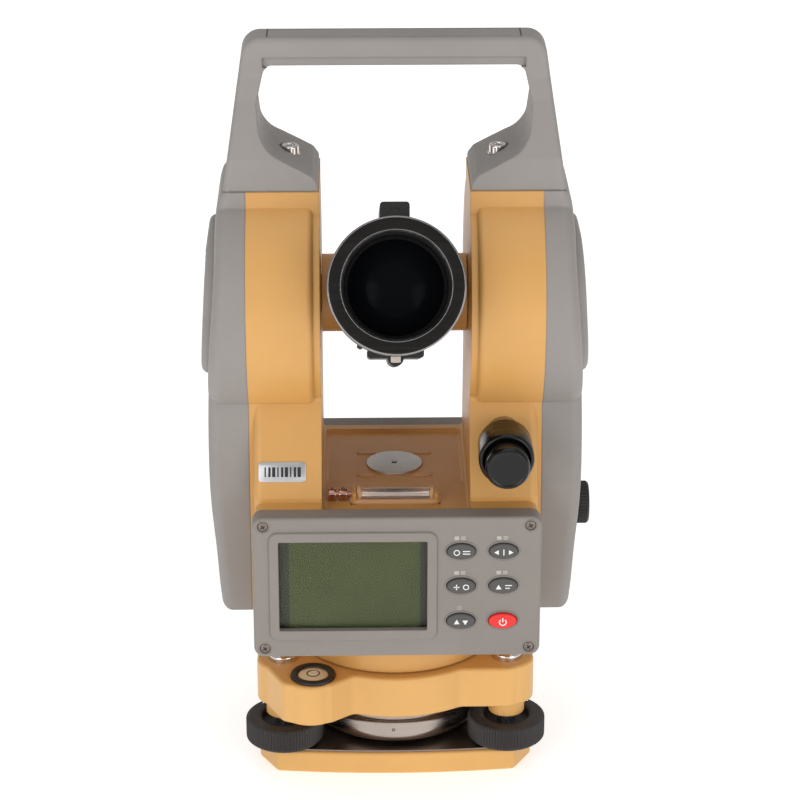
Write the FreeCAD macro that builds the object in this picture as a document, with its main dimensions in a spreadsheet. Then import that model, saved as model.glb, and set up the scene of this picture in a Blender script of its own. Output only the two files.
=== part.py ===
"""Surveying instrument of the total-station family, built as a parametric FreeCAD document.

Row frame: millimetres, +Z up. The origin is the centre of the tripod thread at the underside of the base plate.
The display faces -Y, the optical plummet points to +X and the telescope turns about an axis along X.
From the ground up there are five groups. The base plate carries three foot screws. The levelling head rides on
their threads. The alidade turns on the head about Z. The telescope turns in the alidade about X.
At rest the telescope is tilted up, so its pieces are drawn level and then placed at the tilt.
"""

import FreeCAD
import Part
import math
import os
import re
import Sketcher

Vector = FreeCAD.Vector
Rotation = FreeCAD.Rotation

# Driving dimensions in millimetres (angles in degrees): alias, value, what it is.
SIZES = [
    ("base_top", 10.8, "top of the base plate"),
    ("base_side", 40.0, "centre to the ends of the base plate's long sides"),
    ("base_half_edge", 53.2, "half the length of a long side"),
    ("base_bulge", 3.3, "how far the long sides bow out in their middle"),
    ("thread_r", 6.8, "tripod thread, minor radius of a 5/8 inch thread"),
    ("thread_depth", 9.0, "length of the tripod thread"),
    ("spring_t", 0.9, "thickness of the spring plate"),
    ("foot_circle", 57.4, "axis to each foot screw"),
    ("knob_low", 12.1, "underside of the foot screw wheels"),
    ("knob_high", 23.3, "top of the foot screw wheels"),
    ("knob_r", 17.3, "radius of the foot screw wheels"),
    ("stem_r", 4.0, "radius of the foot screw threads"),
    ("head_low", 33.5, "underside of the levelling head"),
    ("head_top", 52.2, "top of the levelling head"),
    ("head_r", 50.5, "radius of the levelling head's round middle"),
    ("arm_r", 11.8, "radius of the boss round each foot screw"),
    ("level_x", -36.4, "circular level, across"),
    ("level_y", -46.5, "circular level, front to back"),
    ("level_r", 9.9, "radius of the circular level"),
    ("drum_r", 45.8, "radius of the alidade's round foot"),
    ("drum_low", 52.9, "underside of the alidade's round foot"),
    ("cover_low", 82.0, "underside of the side covers"),
    ("platform", 134.6, "height of the platform between the standards"),
    ("top", 267.5, "top of the standards"),
    ("total_height", 329.5, "top of the carrying handle"),
    ("standard_in", 31.5, "inner face of each standard"),
    ("parting", 62.4, "plane where the side covers meet the frame"),
    ("neck_depth", 23.5, "half depth of the standards at the top"),
    ("waist_depth", 35.5, "half depth of the standards below the round panels"),
    ("lower_depth", 41.0, "front of the side covers, beside the display"),
    ("front", 54.0, "front face of the frame, behind the display"),
    ("back", 40.0, "back face of the frame"),
    ("axis_height", 214.2, "height of the telescope's axis"),
    ("panel_r", 52.0, "radius of the round panels about the telescope's axis"),
    ("panel_low", 178.0, "lower end of the round panels"),
    ("panel_high", 260.9, "upper end of the round panels"),
    ("tilt", -22.5, "telescope's angle at rest about +X, objective up"),
    ("hub_r", 16.8, "radius of the telescope's hubs"),
    ("hood_r", 28.4, "radius of the objective hood"),
    ("hood_front", 74.0, "telescope axis to the front of the hood"),
    ("aperture_r", 21.7, "clear radius of the objective"),
    ("display_back", 62.0, "back of the display housing"),
    ("display_front", 71.0, "front of the display housing"),
    ("display_low", 74.4, "lower edge of the display housing"),
    ("display_high", 139.7, "upper edge of the display housing"),
    ("display_half", 61.0, "half width of the display housing"),
    ("drive_x", 46.0, "axis of the vertical drive, across"),
    ("drive_z", 163.7, "axis of the vertical drive, height"),
    ("slow_x", -38.0, "axis of the horizontal drive, across"),
    ("slow_z", 98.0, "axis of the horizontal drive, height"),
    ("collar_r", 11.7, "radius of the clamp collars"),
    ("screw_cap_r", 9.4, "radius of the tangent screw caps"),
    ("plummet_z", 113.8, "axis of the optical plummet"),
    ("plummet_r", 9.5, "radius of the plummet's eyepiece"),
    ("running", 0.04, "radial clearance of a turning shaft"),
]
ALIASES = {alias for alias, _, _ in SIZES}

doc = FreeCAD.newDocument("total_station")
sheet = doc.addObject("Spreadsheet::Sheet", "Sizes")
for row, (alias, number, meaning) in enumerate(SIZES, start=1):
    sheet.set(f"A{row}", str(number))
    sheet.setAlias(f"A{row}", alias)
    sheet.set(f"B{row}", meaning)
doc.recompute()
PARTS = []


# ---------------------------------------------------------------- helpers
def full(expr):
    """The expression with each size's alias spelt as a cell of the sheet."""
    return re.sub(r"[a-z][a-z_]*", lambda m: f"Sizes.{m[0]}" if m[0] in ALIASES else m[0], str(expr))


def value(expr):
    """The number that an expression of sizes stands for."""
    found = sheet.evalExpression(full(expr))
    return float(getattr(found, "Value", found))


def place(obj, at, axis="z"):
    """Puts a primitive's origin at three expressions, with its own Z axis along x, y or z."""
    turn = {"x": Rotation(Vector(0, 1, 0), 90), "y": Rotation(Vector(1, 0, 0), -90), "z": Rotation()}[axis]
    obj.Placement = FreeCAD.Placement(Vector(*map(value, at)), turn)
    for word, expr in zip("xyz", at):
        obj.setExpression(f"Placement.Base.{word}", full(expr))
    return obj


def block(name, x, y, z):
    """A box given by its low and high expression along each axis."""
    obj = doc.addObject("Part::Box", name)
    for prop, (low, high) in zip(("Length", "Width", "Height"), (x, y, z)):
        obj.setExpression(prop, full(f"({high}) - ({low})"))
    return place(obj, (x[0], y[0], z[0]))


def rod(name, axis, span, radius, at):
    """A cylinder along x, y or z from span[0] to span[1], centred on the two other coordinates in at."""
    obj = doc.addObject("Part::Cylinder", name)
    obj.setExpression("Radius", full(radius))
    obj.setExpression("Height", full(f"({span[1]}) - ({span[0]})"))
    where = list(at)
    where.insert("xyz".index(axis), span[0])
    return place(obj, where, axis)


def cone(name, axis, span, radii, at):
    """A cone along x, y or z with a radius at each end of its span."""
    obj = doc.addObject("Part::Cone", name)
    obj.setExpression("Radius1", full(radii[0]))
    obj.setExpression("Radius2", full(radii[1]))
    obj.setExpression("Height", full(f"({span[1]}) - ({span[0]})"))
    where = list(at)
    where.insert("xyz".index(axis), span[0])
    return place(obj, where, axis)


def fuse(name, *shapes):
    obj = doc.addObject("Part::MultiFuse", name)
    obj.Shapes = list(shapes)
    obj.Refine = True
    return obj


def cut(name, base, *tools):
    obj = doc.addObject("Part::Cut", name)
    obj.Base = base
    obj.Tool = tools[0] if len(tools) == 1 else fuse(name + "_tools", *tools)
    obj.Refine = True
    return obj


def common(name, one, other):
    obj = doc.addObject("Part::Common", name)
    obj.Base = one
    obj.Tool = other
    obj.Refine = True
    return obj


def tube(name, axis, span, outer, inner, at):
    """A ring or sleeve: a cylinder with a cylinder taken out of it."""
    return cut(name, rod(name + "_outer", axis, span, outer, at), rod(name + "_bore", axis, span, inner, at))


def filleted(name, base, radius, pick):
    """Rounds the sharp edges that pick(edge) chooses."""
    doc.recompute()
    shape = base.Shape
    chosen = [i for i, edge in enumerate(shape.Edges, start=1) if pick(edge) and sharp(shape, edge)]
    if not chosen:
        raise ValueError(f"{name}: no edge to round")
    obj = doc.addObject("Part::Fillet", name)
    obj.Base = base
    obj.Edges = [(i, value(radius), value(radius)) for i in chosen]
    return obj


def sketch_on(body, plane, loops):
    """A sketch on one of the body's own planes. A loop is a list of points or (x, y, radius) for a circle."""
    sketch = body.newObject("Sketcher::SketchObject", body.Name + "_sketch")
    origin = next(f for f in body.Origin.OriginFeatures if f.Role == plane)
    sketch.AttachmentSupport = [(origin, "")]
    sketch.MapMode = "FlatFace"

    def tie(word, first, second, expr):
        where = sketch.addConstraint(Sketcher.Constraint(word, -1, 1, first, second, value(expr)))
        sketch.setExpression(f"Constraints[{where}]", full(expr))

    for loop in loops:
        start = sketch.GeometryCount
        if isinstance(loop, tuple):
            x, y, radius = loop
            circle = Part.Circle(Vector(value(x), value(y), 0), Vector(0, 0, 1), value(radius))
            sketch.addGeometry(circle, False)
            where = sketch.addConstraint(Sketcher.Constraint("Radius", start, value(radius)))
            sketch.setExpression(f"Constraints[{where}]", full(radius))
            tie("DistanceX", start, 3, x)
            tie("DistanceY", start, 3, y)
            continue
        spots = [Vector(value(x), value(y), 0) for x, y in loop]
        for here, there in zip(spots, spots[1:] + spots[:1]):
            sketch.addGeometry(Part.LineSegment(here, there), False)
        for i in range(len(loop)):
            following = start + (i + 1) % len(loop)
            sketch.addConstraint(Sketcher.Constraint("Coincident", start + i, 2, following, 1))
        for i, (x, y) in enumerate(loop):
            tie("DistanceX", start + i, 1, x)
            tie("DistanceY", start + i, 1, y)
    return sketch


def plate(name, plane, loops, length, shift="0"):
    """A body padded from a sketch: XY_Plane pads along +Z, XZ_Plane along -Y and YZ_Plane along +X.
    shift moves it along that plane's axis."""
    body = doc.addObject("PartDesign::Body", name)
    pad = body.newObject("PartDesign::Pad", name + "_pad")
    pad.Profile = sketch_on(body, plane, loops)
    pad.setExpression("Length", full(length))
    word = {"XY_Plane": "z", "XZ_Plane": "y", "YZ_Plane": "x"}[plane]
    body.setExpression(f"Placement.Base.{word}", full(shift))
    return body


def turned(name, profile, at=("0", "0", "0"), axis="z"):
    """A body turned from a half profile of (radius, height) points about its own Z axis."""
    body = doc.addObject("PartDesign::Body", name)
    turn = body.newObject("PartDesign::Revolution", name + "_turn")
    sketch = sketch_on(body, "XZ_Plane", [profile])
    turn.Profile = (sketch, [""])
    turn.ReferenceAxis = (sketch, ["V_Axis"])
    turn.Angle = 360
    return place(body, at, axis)


def round_body(body, radius, pick):
    """Adds a PartDesign fillet to the body's newest feature."""
    doc.recompute()
    tip = body.Tip
    shape = tip.Shape
    chosen = [f"Edge{i}" for i, edge in enumerate(shape.Edges, start=1) if pick(edge) and sharp(shape, edge)]
    if not chosen:
        raise ValueError(f"{body.Name}: no edge to round")
    feature = body.newObject("PartDesign::Fillet", body.Name + f"_fillet_{len(body.Group)}")
    feature.Base = (tip, chosen)
    feature.setExpression("Radius", full(radius))
    return body


def runs_along(axis, edge):
    """True for a straight edge along x, y or z."""
    if edge.Curve.TypeId != "Part::GeomLine":
        return False
    way = edge.Vertexes[1].Point - edge.Vertexes[0].Point
    return abs(abs(way.normalize()["xyz".index(axis)]) - 1) < 1e-6


def sharp(shape, edge, least=0.4):
    """True where the two faces that meet at an edge turn by more than least radians."""
    at = middle(edge)
    ways = [face.normalAt(*face.Surface.parameter(at)) for face in shape.ancestorsOfType(edge, Part.Face)]
    return len(ways) == 2 and ways[0].getAngle(ways[1]) > least


def middle(edge):
    return edge.valueAt((edge.FirstParameter + edge.LastParameter) / 2)


def part(label, obj):
    """Names a finished sub-part. Its label is its file's name."""
    for stock in doc.getObjectsByLabel(label):
        if stock is not obj:
            stock.Label = label + "_stock"
    obj.Label = label
    PARTS.append(obj)
    return obj


def on_telescope(obj):
    """Turns a piece that was drawn level about the telescope's axis to the tilt at rest."""
    group = doc.addObject("Part::Compound", obj.Name + "_tilted")
    group.Links = [obj]
    at_rest = Rotation(Vector(1, 0, 0), value("tilt"))
    group.Placement = FreeCAD.Placement(Vector(0, 0, value("axis_height")), at_rest)
    group.setExpression("Placement.Base.z", full("axis_height"))
    group.setExpression("Placement.Rotation.Angle", full("tilt"))
    return group


def feature(name, shape):
    """A shape made with Part's own functions, where no feature fits."""
    obj = doc.addObject("Part::Feature", name)
    obj.Shape = shape
    return obj


def foot_centres():
    """The three foot screws: name and the expressions of their centre."""
    for name, degrees in (("left", 210), ("right", 330), ("rear", 90)):
        angle = math.radians(degrees)
        yield name, f"foot_circle * {math.cos(angle):.6f}", f"foot_circle * {math.sin(angle):.6f}"


# ---------------------------------------------------------------- base
def bowed_plate(name, inset, holes, thick, low):
    """Three-sided plate with cut corners and gently bowed long sides, drawn in by an inset."""
    half = f"(base_half_edge - {inset} * 0.57735 - base_bulge * 0.57735)"
    out = f"(base_side - {inset} + base_bulge)"
    bow = "((base_half_edge ^ 2 + base_bulge ^ 2) / (2 * base_bulge))"
    outline = []
    arcs = []
    for turn in (0, 120, 240):
        c, s = math.cos(math.radians(turn)), math.sin(math.radians(turn))
        for x in (f"-1 * {half}", half):
            outline.append((f"{x} * {c:.6f} + {out} * {s:.6f}", f"{x} * {s:.6f} - {out} * {c:.6f}"))
        at = (f"({out} - {bow}) * {s:.6f}", f"({bow} - {out}) * {c:.6f}")
        arcs.append(rod(f"{name}_bow_{turn}", "z", (f"{low} - 1", f"{low} + {thick} + 1"), bow, at))
    blank = plate(f"{name}_blank", "XY_Plane", [outline, *holes], thick, low)
    for arc in arcs:
        blank = common(f"{arc.Name}_side", blank, arc)
    return blank


def base_plate():
    """Plate with the tripod thread in its middle and a seat for each foot screw's ball."""
    blank = bowed_plate("base", "0", [("0", "0", "thread_r")], "base_top", "0")
    body = filleted("base_corners", blank, "3", lambda e: runs_along("z", e))
    low = 0.01
    body = filleted(
        "base_under", body, "2.2", lambda e: max(v.Z for v in e.Vertexes) < low and middle(e).Length > 20
    )
    body = filleted(
        "base_rim", body, "1.2", lambda e: min(v.Z for v in e.Vertexes) > 10 and middle(e).Length > 20
    )
    depth = ("base_top - 4.2", "base_top + 1")
    seats = [rod(f"seat_{n}", "z", depth, "5", (x, y)) for n, x, y in foot_centres()]
    dish = rod("thread_relief", "z", ("thread_depth", "base_top + 1"), "12", ("0", "0"))
    part("base_plate", cut("base_with_seats", body, dish, *seats))


def spring_plate():
    """Sprung steel sheet that holds the foot screws' balls down on the base plate."""
    holes = [("0", "0", "12.5")] + [(x, y, "stem_r + 0.5") for _, x, y in foot_centres()]
    blank = bowed_plate("spring", "1.3", holes, "spring_t", "base_top + 0.02")
    part("spring_plate", filleted("spring_corners", blank, "6", lambda e: runs_along("z", e)))


def foot_screws():
    """Each foot screw is a threaded stem with a ball end and the ribbed wheel pressed on it."""
    for name, x, y in foot_centres():
        stem = turned(
            f"stem_{name}",
            [
                ("0", "base_top - 4.1"),
                ("3", "base_top - 4.1"),
                ("4.6", "base_top - 2.6"),
                ("4.6", "base_top - 1.4"),
                ("3", "base_top"),
                ("3", "knob_low"),
                ("stem_r", "knob_low"),
                ("stem_r", "head_top - 6"),
                ("stem_r - 0.8", "head_top - 5"),
                ("0", "head_top - 5"),
            ],
            (x, y, "0"),
        )
        part(f"footscrew_stem_{name}", stem)
        wheel = turned(
            f"wheel_{name}",
            [
                ("stem_r", "knob_low"),
                ("knob_r - 2.2", "knob_low"),
                ("knob_r", "knob_low + 1.6"),
                ("knob_r", "knob_high - 1.6"),
                ("knob_r - 1.6", "knob_high"),
                ("10.6", "knob_high"),
                ("10.0", "knob_high - 3.2"),
                ("stem_r", "knob_high - 3.2"),
            ],
            (x, y, "0"),
        )
        part(f"footscrew_knob_{name}", wheel)


# ---------------------------------------------------------------- levelling head
# Side of an arm of the levelling head, and the two cheeks of the lobe that carries the circular level.
WEB = [(20, -41.7), (51, -41.7), (58.2, -36.3), (40, -20)]
LOBE_CHEEKS = {
    "outer": [("-59.4", "-33"), ("-49.8", "-53.2"), ("-42.3", "-56.6"), ("-37.5", "-45.5"), ("-40", "-25")],
    "inner": [("-36", "-57.5"), ("-28.3", "-55"), ("-18", "-46.9"), ("-28", "-38")],
}


def set_screw_places():
    """The small screw in the side of each sleeve: name, span along x and its other coordinates."""
    for name, x, y in foot_centres():
        out = -1 if name == "left" else 1
        span = sorted((f"{x} + {out * 6}", f"{x} + {out * 9.2}"), key=value)
        yield name, span, (y, "head_low - 3.4")


def levelling_head():
    """Casting with a round middle, a boss for each foot screw and a lobe for the circular level."""
    depth = "head_top - head_low"
    lumps = [rod("head_middle", "z", ("head_low", "head_top"), "head_r", ("0", "0"))]
    for n, x, y in foot_centres():
        lumps.append(rod(f"head_boss_{n}", "z", ("head_low", "head_top"), "arm_r", (x, y)))
        lumps.append(rod(f"head_sleeve_{n}", "z", ("knob_high + 2.2", "head_low + 1"), "8", (x, y)))
    for side in (-1, 1):
        for turn in (0, 120, 240):
            c, s = math.cos(math.radians(turn)), math.sin(math.radians(turn))
            web = [(f"{x * side * c - y * s:.4f}", f"{x * side * s + y * c:.4f}") for x, y in WEB]
            lumps.append(plate(f"head_web_{len(lumps)}", "XY_Plane", [web], depth, "head_low"))
    lobe_at = ("level_x - 1.1", "level_y + 1")
    lumps.append(rod("level_lobe", "z", ("head_low", "head_top"), "level_r + 2.4", lobe_at))
    for name, cheek in LOBE_CHEEKS.items():
        lumps.append(plate(f"level_cheek_{name}", "XY_Plane", [cheek], depth, "head_low"))
    body = fuse("head_lumps", *lumps)
    body = filleted("head_blended", body, "5", lambda e: runs_along("z", e))
    body = filleted(
        "head_rounded",
        body,
        "1.5",
        lambda e: min(v.Z for v in e.Vertexes) > value("head_top") - 0.01,
    )
    tools = [
        rod(f"head_thread_{n}", "z", ("knob_high", "head_top - 3"), "stem_r + 0.05", (x, y))
        for n, x, y in foot_centres()
    ]
    seat = ("head_top - 3", "head_top + 1")
    tools += [rod(f"head_cap_seat_{n}", "z", seat, "6", (x, y)) for n, x, y in foot_centres()]
    tools += [rod(f"head_screw_way_{n}", "x", span, "1.6", at) for n, span, at in set_screw_places()]
    seat = ("head_top - 8", "head_top + 1")
    tools.append(rod("head_level_seat", "z", seat, "level_r", ("level_x", "level_y")))
    tools.append(rod("head_bore", "z", ("head_low - 1", "head_top + 1"), "14", ("0", "0")))
    tools.append(rod("head_recess", "z", ("head_top - 2.5", "head_top + 1"), "drum_r - 3", ("0", "0")))
    part("tribrach_body", cut("head_bored", body, *tools))


def head_fittings():
    """Chrome caps over the foot screws, small clamp screws, the turned boss below and the circular level."""
    caps = [
        turned(
            f"cap_{n}",
            [
                ("0", "head_top - 3"),
                ("6", "head_top - 3"),
                ("6", "head_top + 0.02"),
                ("6.4", "head_top + 0.02"),
                ("6.4", "head_top + 2.7"),
                ("5.6", "head_top + 3.6"),
                ("0", "head_top + 3.6"),
            ],
            (x, y, "0"),
        )
        for n, x, y in foot_centres()
    ]
    part("footscrew_caps", fuse("caps", *caps))
    screws = []
    for n, span, at in set_screw_places():
        screws.append(rod(f"set_screw_{n}", "x", span, "1.6", at))
    part("sleeve_set_screws", fuse("set_screws", *screws))
    part(
        "centre_boss",
        turned(
            "centre_boss",
            [
                ("14", "head_low"),
                ("43.2", "head_low"),
                ("43.2", "head_low - 3.5"),
                ("42", "head_low - 6.5"),
                ("39", "24.2"),
                ("39", "16.2"),
                ("38.3", "14.5"),
                ("36.8", "13.3"),
                ("34", "12.9"),
                ("22", "12.8"),
                ("20", "13.8"),
                ("20", "head_low - 6"),
                ("14", "head_low - 6"),
            ],
        ),
    )
    ring = tube(
        "level_ring", "z", ("head_top - 8", "head_top + 1.6"), "level_r", "level_r - 3", ("level_x", "level_y")
    )
    part("circular_level_ring", ring)
    part(
        "circular_level_vial",
        turned(
            "level_vial",
            [
                ("0", "head_top - 7"),
                ("level_r - 3", "head_top - 7"),
                ("level_r - 3", "head_top + 0.6"),
                ("level_r - 4.6", "head_top + 1.2"),
                ("0", "head_top + 1.4"),
            ],
            ("level_x", "level_y", "0"),
        ),
    )


def vertical_axis():
    """Fixed sleeve with the glass circle, and the hollow spindle that turns in it."""
    part(
        "axis_sleeve",
        turned(
            "axis_sleeve",
            [
                ("9 + running", "30"),
                ("14", "30"),
                ("14", "66"),
                ("18", "66"),
                ("18", "70"),
                ("14", "70"),
                ("14", "92"),
                ("9 + running", "92"),
            ],
        ),
    )
    part("horizontal_circle", tube("horizontal_circle", "z", ("70", "72.5"), "34", "14", ("0", "0")))
    part(
        "spindle",
        turned(
            "spindle",
            [("5", "32"), ("9", "32"), ("9", "93"), ("20", "93"), ("20", "98"), ("5", "98")],
        ),
    )


# ---------------------------------------------------------------- alidade
def side_profile(front, inset="0"):
    """Side outline of the standards as (y, z) corners, without the round panels, drawn in by an inset."""
    knee = "display_high + 1.3"
    return [
        (f"-neck_depth + {inset}", f"top - {inset}"),
        (f"-neck_depth + {inset}", "panel_high"),
        (f"-waist_depth + {inset}", "panel_low"),
        (f"-{front} + {inset}", knee),
        (f"-{front} + {inset}", f"cover_low + {inset}"),
        (f"back - {inset}", f"cover_low + {inset}"),
        (f"back - {inset}", knee),
        (f"waist_depth - {inset}", "panel_low"),
        (f"neck_depth - {inset}", "panel_high"),
        (f"neck_depth - {inset}", f"top - {inset}"),
    ]


def round_panel(name, low, high, radius):
    """The band of a cylinder about the telescope's axis that stands proud of a standard."""
    drum = rod(name + "_drum", "x", (low, high), radius, ("0", "axis_height"))
    band = block(name + "_band", (low, high), ("-panel_r", "panel_r"), ("panel_low", "panel_high"))
    return common(name, drum, band)


def frame_solid():
    """The casting before it is hollowed out."""
    lumps = [plate("frame_sides", "YZ_Plane", [side_profile("lower_depth")], "2 * parting", "-parting")]
    apron = plate("frame_apron", "YZ_Plane", [side_profile("front")], "121", "-60.5")

    def apron_side(edge):
        box = edge.BoundBox
        return box.XLength < 0.01 and box.ZLength > 5 and box.YMin < -value("lower_depth") - 5

    lumps.append(filleted("frame_apron_round", apron, "3.5", apron_side))
    lumps.append(rod("frame_foot", "z", ("drum_low", "cover_low + 1"), "drum_r", ("0", "0")))
    width = ("1 - display_half", "display_half - 1")
    height = ("display_low + 1.5", "display_high - 0.4")
    boss = block("display_boss", width, ("-display_back", "-front + 1"), height)
    lumps.append(filleted("display_boss_round", boss, "4.5", lambda e: runs_along("y", e)))
    inner = value("standard_in") + 3
    for side, low, high in (("left", "-parting", "-standard_in - 3"), ("right", "standard_in + 3", "parting")):
        panel = round_panel(f"panel_{side}", low, high, "panel_r")

        def panel_rim(edge):
            box = edge.BoundBox
            return box.XLength < 0.01 and abs(abs(box.XMin) - inner) < 0.01 and box.DiagonalLength > 20

        lumps.append(filleted(f"panel_{side}_round", panel, "2.5", panel_rim))
    rims = (("left", "-standard_in - 4", "-standard_in"), ("right", "standard_in", "standard_in + 4"))
    for side, low, high in rims:
        lumps.append(round_panel(f"rim_{side}", low, high, "panel_r - 2.6"))
    return fuse("frame_solid", *lumps)


def alidade_frame():
    """U-shaped casting: a round foot, a box with the platform on it and the two hollow standards."""
    channel = block("channel", ("-standard_in", "standard_in"), ("-80", "80"), ("platform", "top + 1"))
    floor = value("platform")
    low = floor + 0.01
    channel = filleted("channel_round", channel, "1.5", lambda e: runs_along("y", e) and middle(e).z < low)
    body = cut("frame_channel", frame_solid(), channel)
    depth = "parting - standard_in - 5"
    inside = side_profile("lower_depth", "5")
    tray = block("tray", ("-30.2", "30.2"), ("-23", "35.4"), ("platform - 1.6", "platform + 1"))
    tray = filleted("tray_corners", tray, "2", lambda e: runs_along("z", e))
    tray = filleted("tray_round", tray, "1.5", lambda e: max(v.Z for v in e.Vertexes) < floor - 1.5)
    tools = [
        tray,
        plate("pocket_left", "YZ_Plane", [inside], depth, "-parting"),
        plate("pocket_right", "YZ_Plane", [inside], depth, "standard_in + 5"),
        rod("circle_room", "z", ("drum_low + 4", "cover_low"), "41", ("0", "0")),
        rod("spindle_room", "z", ("cover_low - 1", "98"), "36", ("0", "0")),
        rod("sleeve_hole", "z", ("drum_low - 1", "drum_low + 5"), "19", ("0", "0")),
        rod("sight_hole", "z", ("97", "104"), "6", ("0", "0")),
        rod("prism_room", "z", ("103", "platform - 6"), "22", ("0", "0")),
        rod("plummet_way", "x", ("0", "parting + 1"), "8.2", ("0", "plummet_z")),
        rod("bush_holes", "x", ("-standard_in - 6", "standard_in + 6"), "14", ("0", "axis_height")),
        rod("vertical_drive_hole", "y", ("-60", "-26"), "8", ("drive_x", "drive_z")),
        rod("slow_drive_hole", "y", ("30", "back + 1"), "8", ("slow_x", "slow_z")),
        block("cable_slot", ("-30", "-18"), ("-display_back - 1", "-38"), ("104", "116")),
        block("level_recess", ("-19.4", "19"), ("-46.4", "-35.6"), ("platform - 2.6", "platform + 1")),
    ]
    for side in ("-1", "1"):
        at = (f"44 * {side}", "0")
        tools.append(rod(f"handle_hole_{len(tools)}", "z", ("top - 7", "top + 1"), "2.45", at))
    part("alidade_frame", cut("frame_hollow", body, *tools))


# Height and outward reach of the side covers along their middle.
COVER_CURVE = [
    (267.5, 72.4),
    (262, 74.3),
    (245, 75.4),
    (214, 77.4),
    (190, 79.2),
    (165, 80),
    (140, 79.8),
    (128, 79.2),
    (108, 77.5),
    (94, 76.6),
    (82, 75.3),
]


def cover_solid(inset):
    """Right-hand cover before it is hollowed, drawn in by an inset."""
    x_in = value("parting")
    curve = Part.BSplineCurve()
    curve.interpolate([Vector(x - inset, -100, z) for z, x in COVER_CURVE])
    ends = [Vector(x_in, -100, z) for z, _ in (COVER_CURVE[-1], COVER_CURVE[0])]
    sides = [curve.StartPoint, curve.EndPoint, *ends]
    lines = [Part.makeLine(sides[1], ends[0]), Part.makeLine(*ends), Part.makeLine(ends[1], sides[0])]
    front = Part.Face(Part.Wire([curve.toShape(), *lines])).extrude(Vector(0, 200, 0))
    corners = [Vector(x_in, value(y), value(z)) for y, z in side_profile("lower_depth", str(inset))]
    slab = Part.Face(Part.makePolygon(corners + corners[:1])).extrude(Vector(40, 0, 0))
    axis = Vector(x_in, 0, value("axis_height"))
    drum = Part.makeCylinder(value("panel_r") - inset, 40, axis, Vector(1, 0, 0))
    span = value("panel_high - panel_low")
    band = Part.makeBox(40, 200, span - 2 * inset, Vector(x_in, -100, value("panel_low") + inset))
    softened = []
    for lump, radius in ((slab, 4.6), (drum.common(band), 5.5)):
        shape = lump.common(front).removeSplitter()
        rim = [e for e in shape.Edges if min(v.X for v in e.Vertexes) > 70 - inset and sharp(shape, e)]
        softened.append(shape.makeFillet(radius - inset, rim))
    return softened[0].fuse(softened[1]).removeSplitter()


def oval_block(x_low, x_high, grow):
    """Upright rounded block over the circle, between two x planes."""
    half_width, half_height, corner = 33 + grow, 32 + grow, 25 + grow
    at = Vector(x_low, -half_width, value("axis_height") - half_height)
    oval = Part.makeBox(x_high - x_low, 2 * half_width, 2 * half_height, at)
    return oval.makeFillet(corner, [e for e in oval.Edges if runs_along("x", e)])


def blister(x_low):
    """Raised round housing on a cover's outer face, thickest near its foot."""
    points = [(x_low, 165), (84.4, 165), (78.3, 262), (x_low, 262)]
    wedge = Part.Face(Part.makePolygon([Vector(x, -60, z) for x, z in points + points[:1]]))
    boss = wedge.extrude(Vector(0, 120, 0)).common(oval_block(x_low, 90, 0)).removeSplitter()
    rim = [e for e in boss.Edges if min(v.X for v in e.Vertexes) > 75 and sharp(boss, e, 0.6)]
    return boss.makeFillet(3.4, rim)


def side_covers():
    """Grey shells that close the standards from the sides, and the battery case let into the left one."""
    shell = cover_solid(0).cut(cover_solid(2.4))
    boss = blister(70).cut(cover_solid(2.4))
    way = Part.makeCylinder(8.2, 40, Vector(60, 0, value("plummet_z")), Vector(1, 0, 0))
    part("right_cover", feature("right_cover", shell.fuse(boss).removeSplitter().cut(way)))
    mirror = (Vector(0, 0, 0), Vector(1, 0, 0))
    part("left_cover", feature("left_cover", shell.cut(oval_block(60, 95, 0.35)).mirror(*mirror)))
    case = blister(62.7)
    cells = []
    for y in (-15.4, 0, 15.4):
        at = Vector(70.3, y, 189)
        cells.append(Part.makeCylinder(7.25, 49, at).fuse(Part.makeCylinder(2.7, 50.5, at)))
        case = case.cut(Part.makeCylinder(7.3, 52, at - Vector(0, 0, 0.5)))
        case = case.cut(Part.makeBox(8.4, 14.6, 52, at - Vector(8.4, 7.3, 0.5)))
    part("battery_case", feature("battery_case", case.mirror(*mirror)))
    part("battery_cells", feature("battery_cells", Part.makeCompound(cells).mirror(*mirror)))


def rear_cover():
    """Shallow dark shell on the back of the frame, round the horizontal drive."""
    x, z = ("-57", "57"), ("cover_low + 1", "platform - 1.3")
    box = block("rear_box", x, ("back", "54"), z)
    box = filleted("rear_box_round", box, "5", lambda e: runs_along("y", e))
    box = filleted("rear_box_rim", box, "3", lambda e: min(v.Y for v in e.Vertexes) > 53.9)
    room = block("rear_room", ("-54.6", "54.6"), ("back - 1", "51.6"), ("cover_low + 3.4", "platform - 3.7"))
    way = rod("rear_way", "y", ("50", "55"), "8.2", ("slow_x", "slow_z"))
    part("rear_cover", cut("rear_shell", box, room, way))


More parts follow.
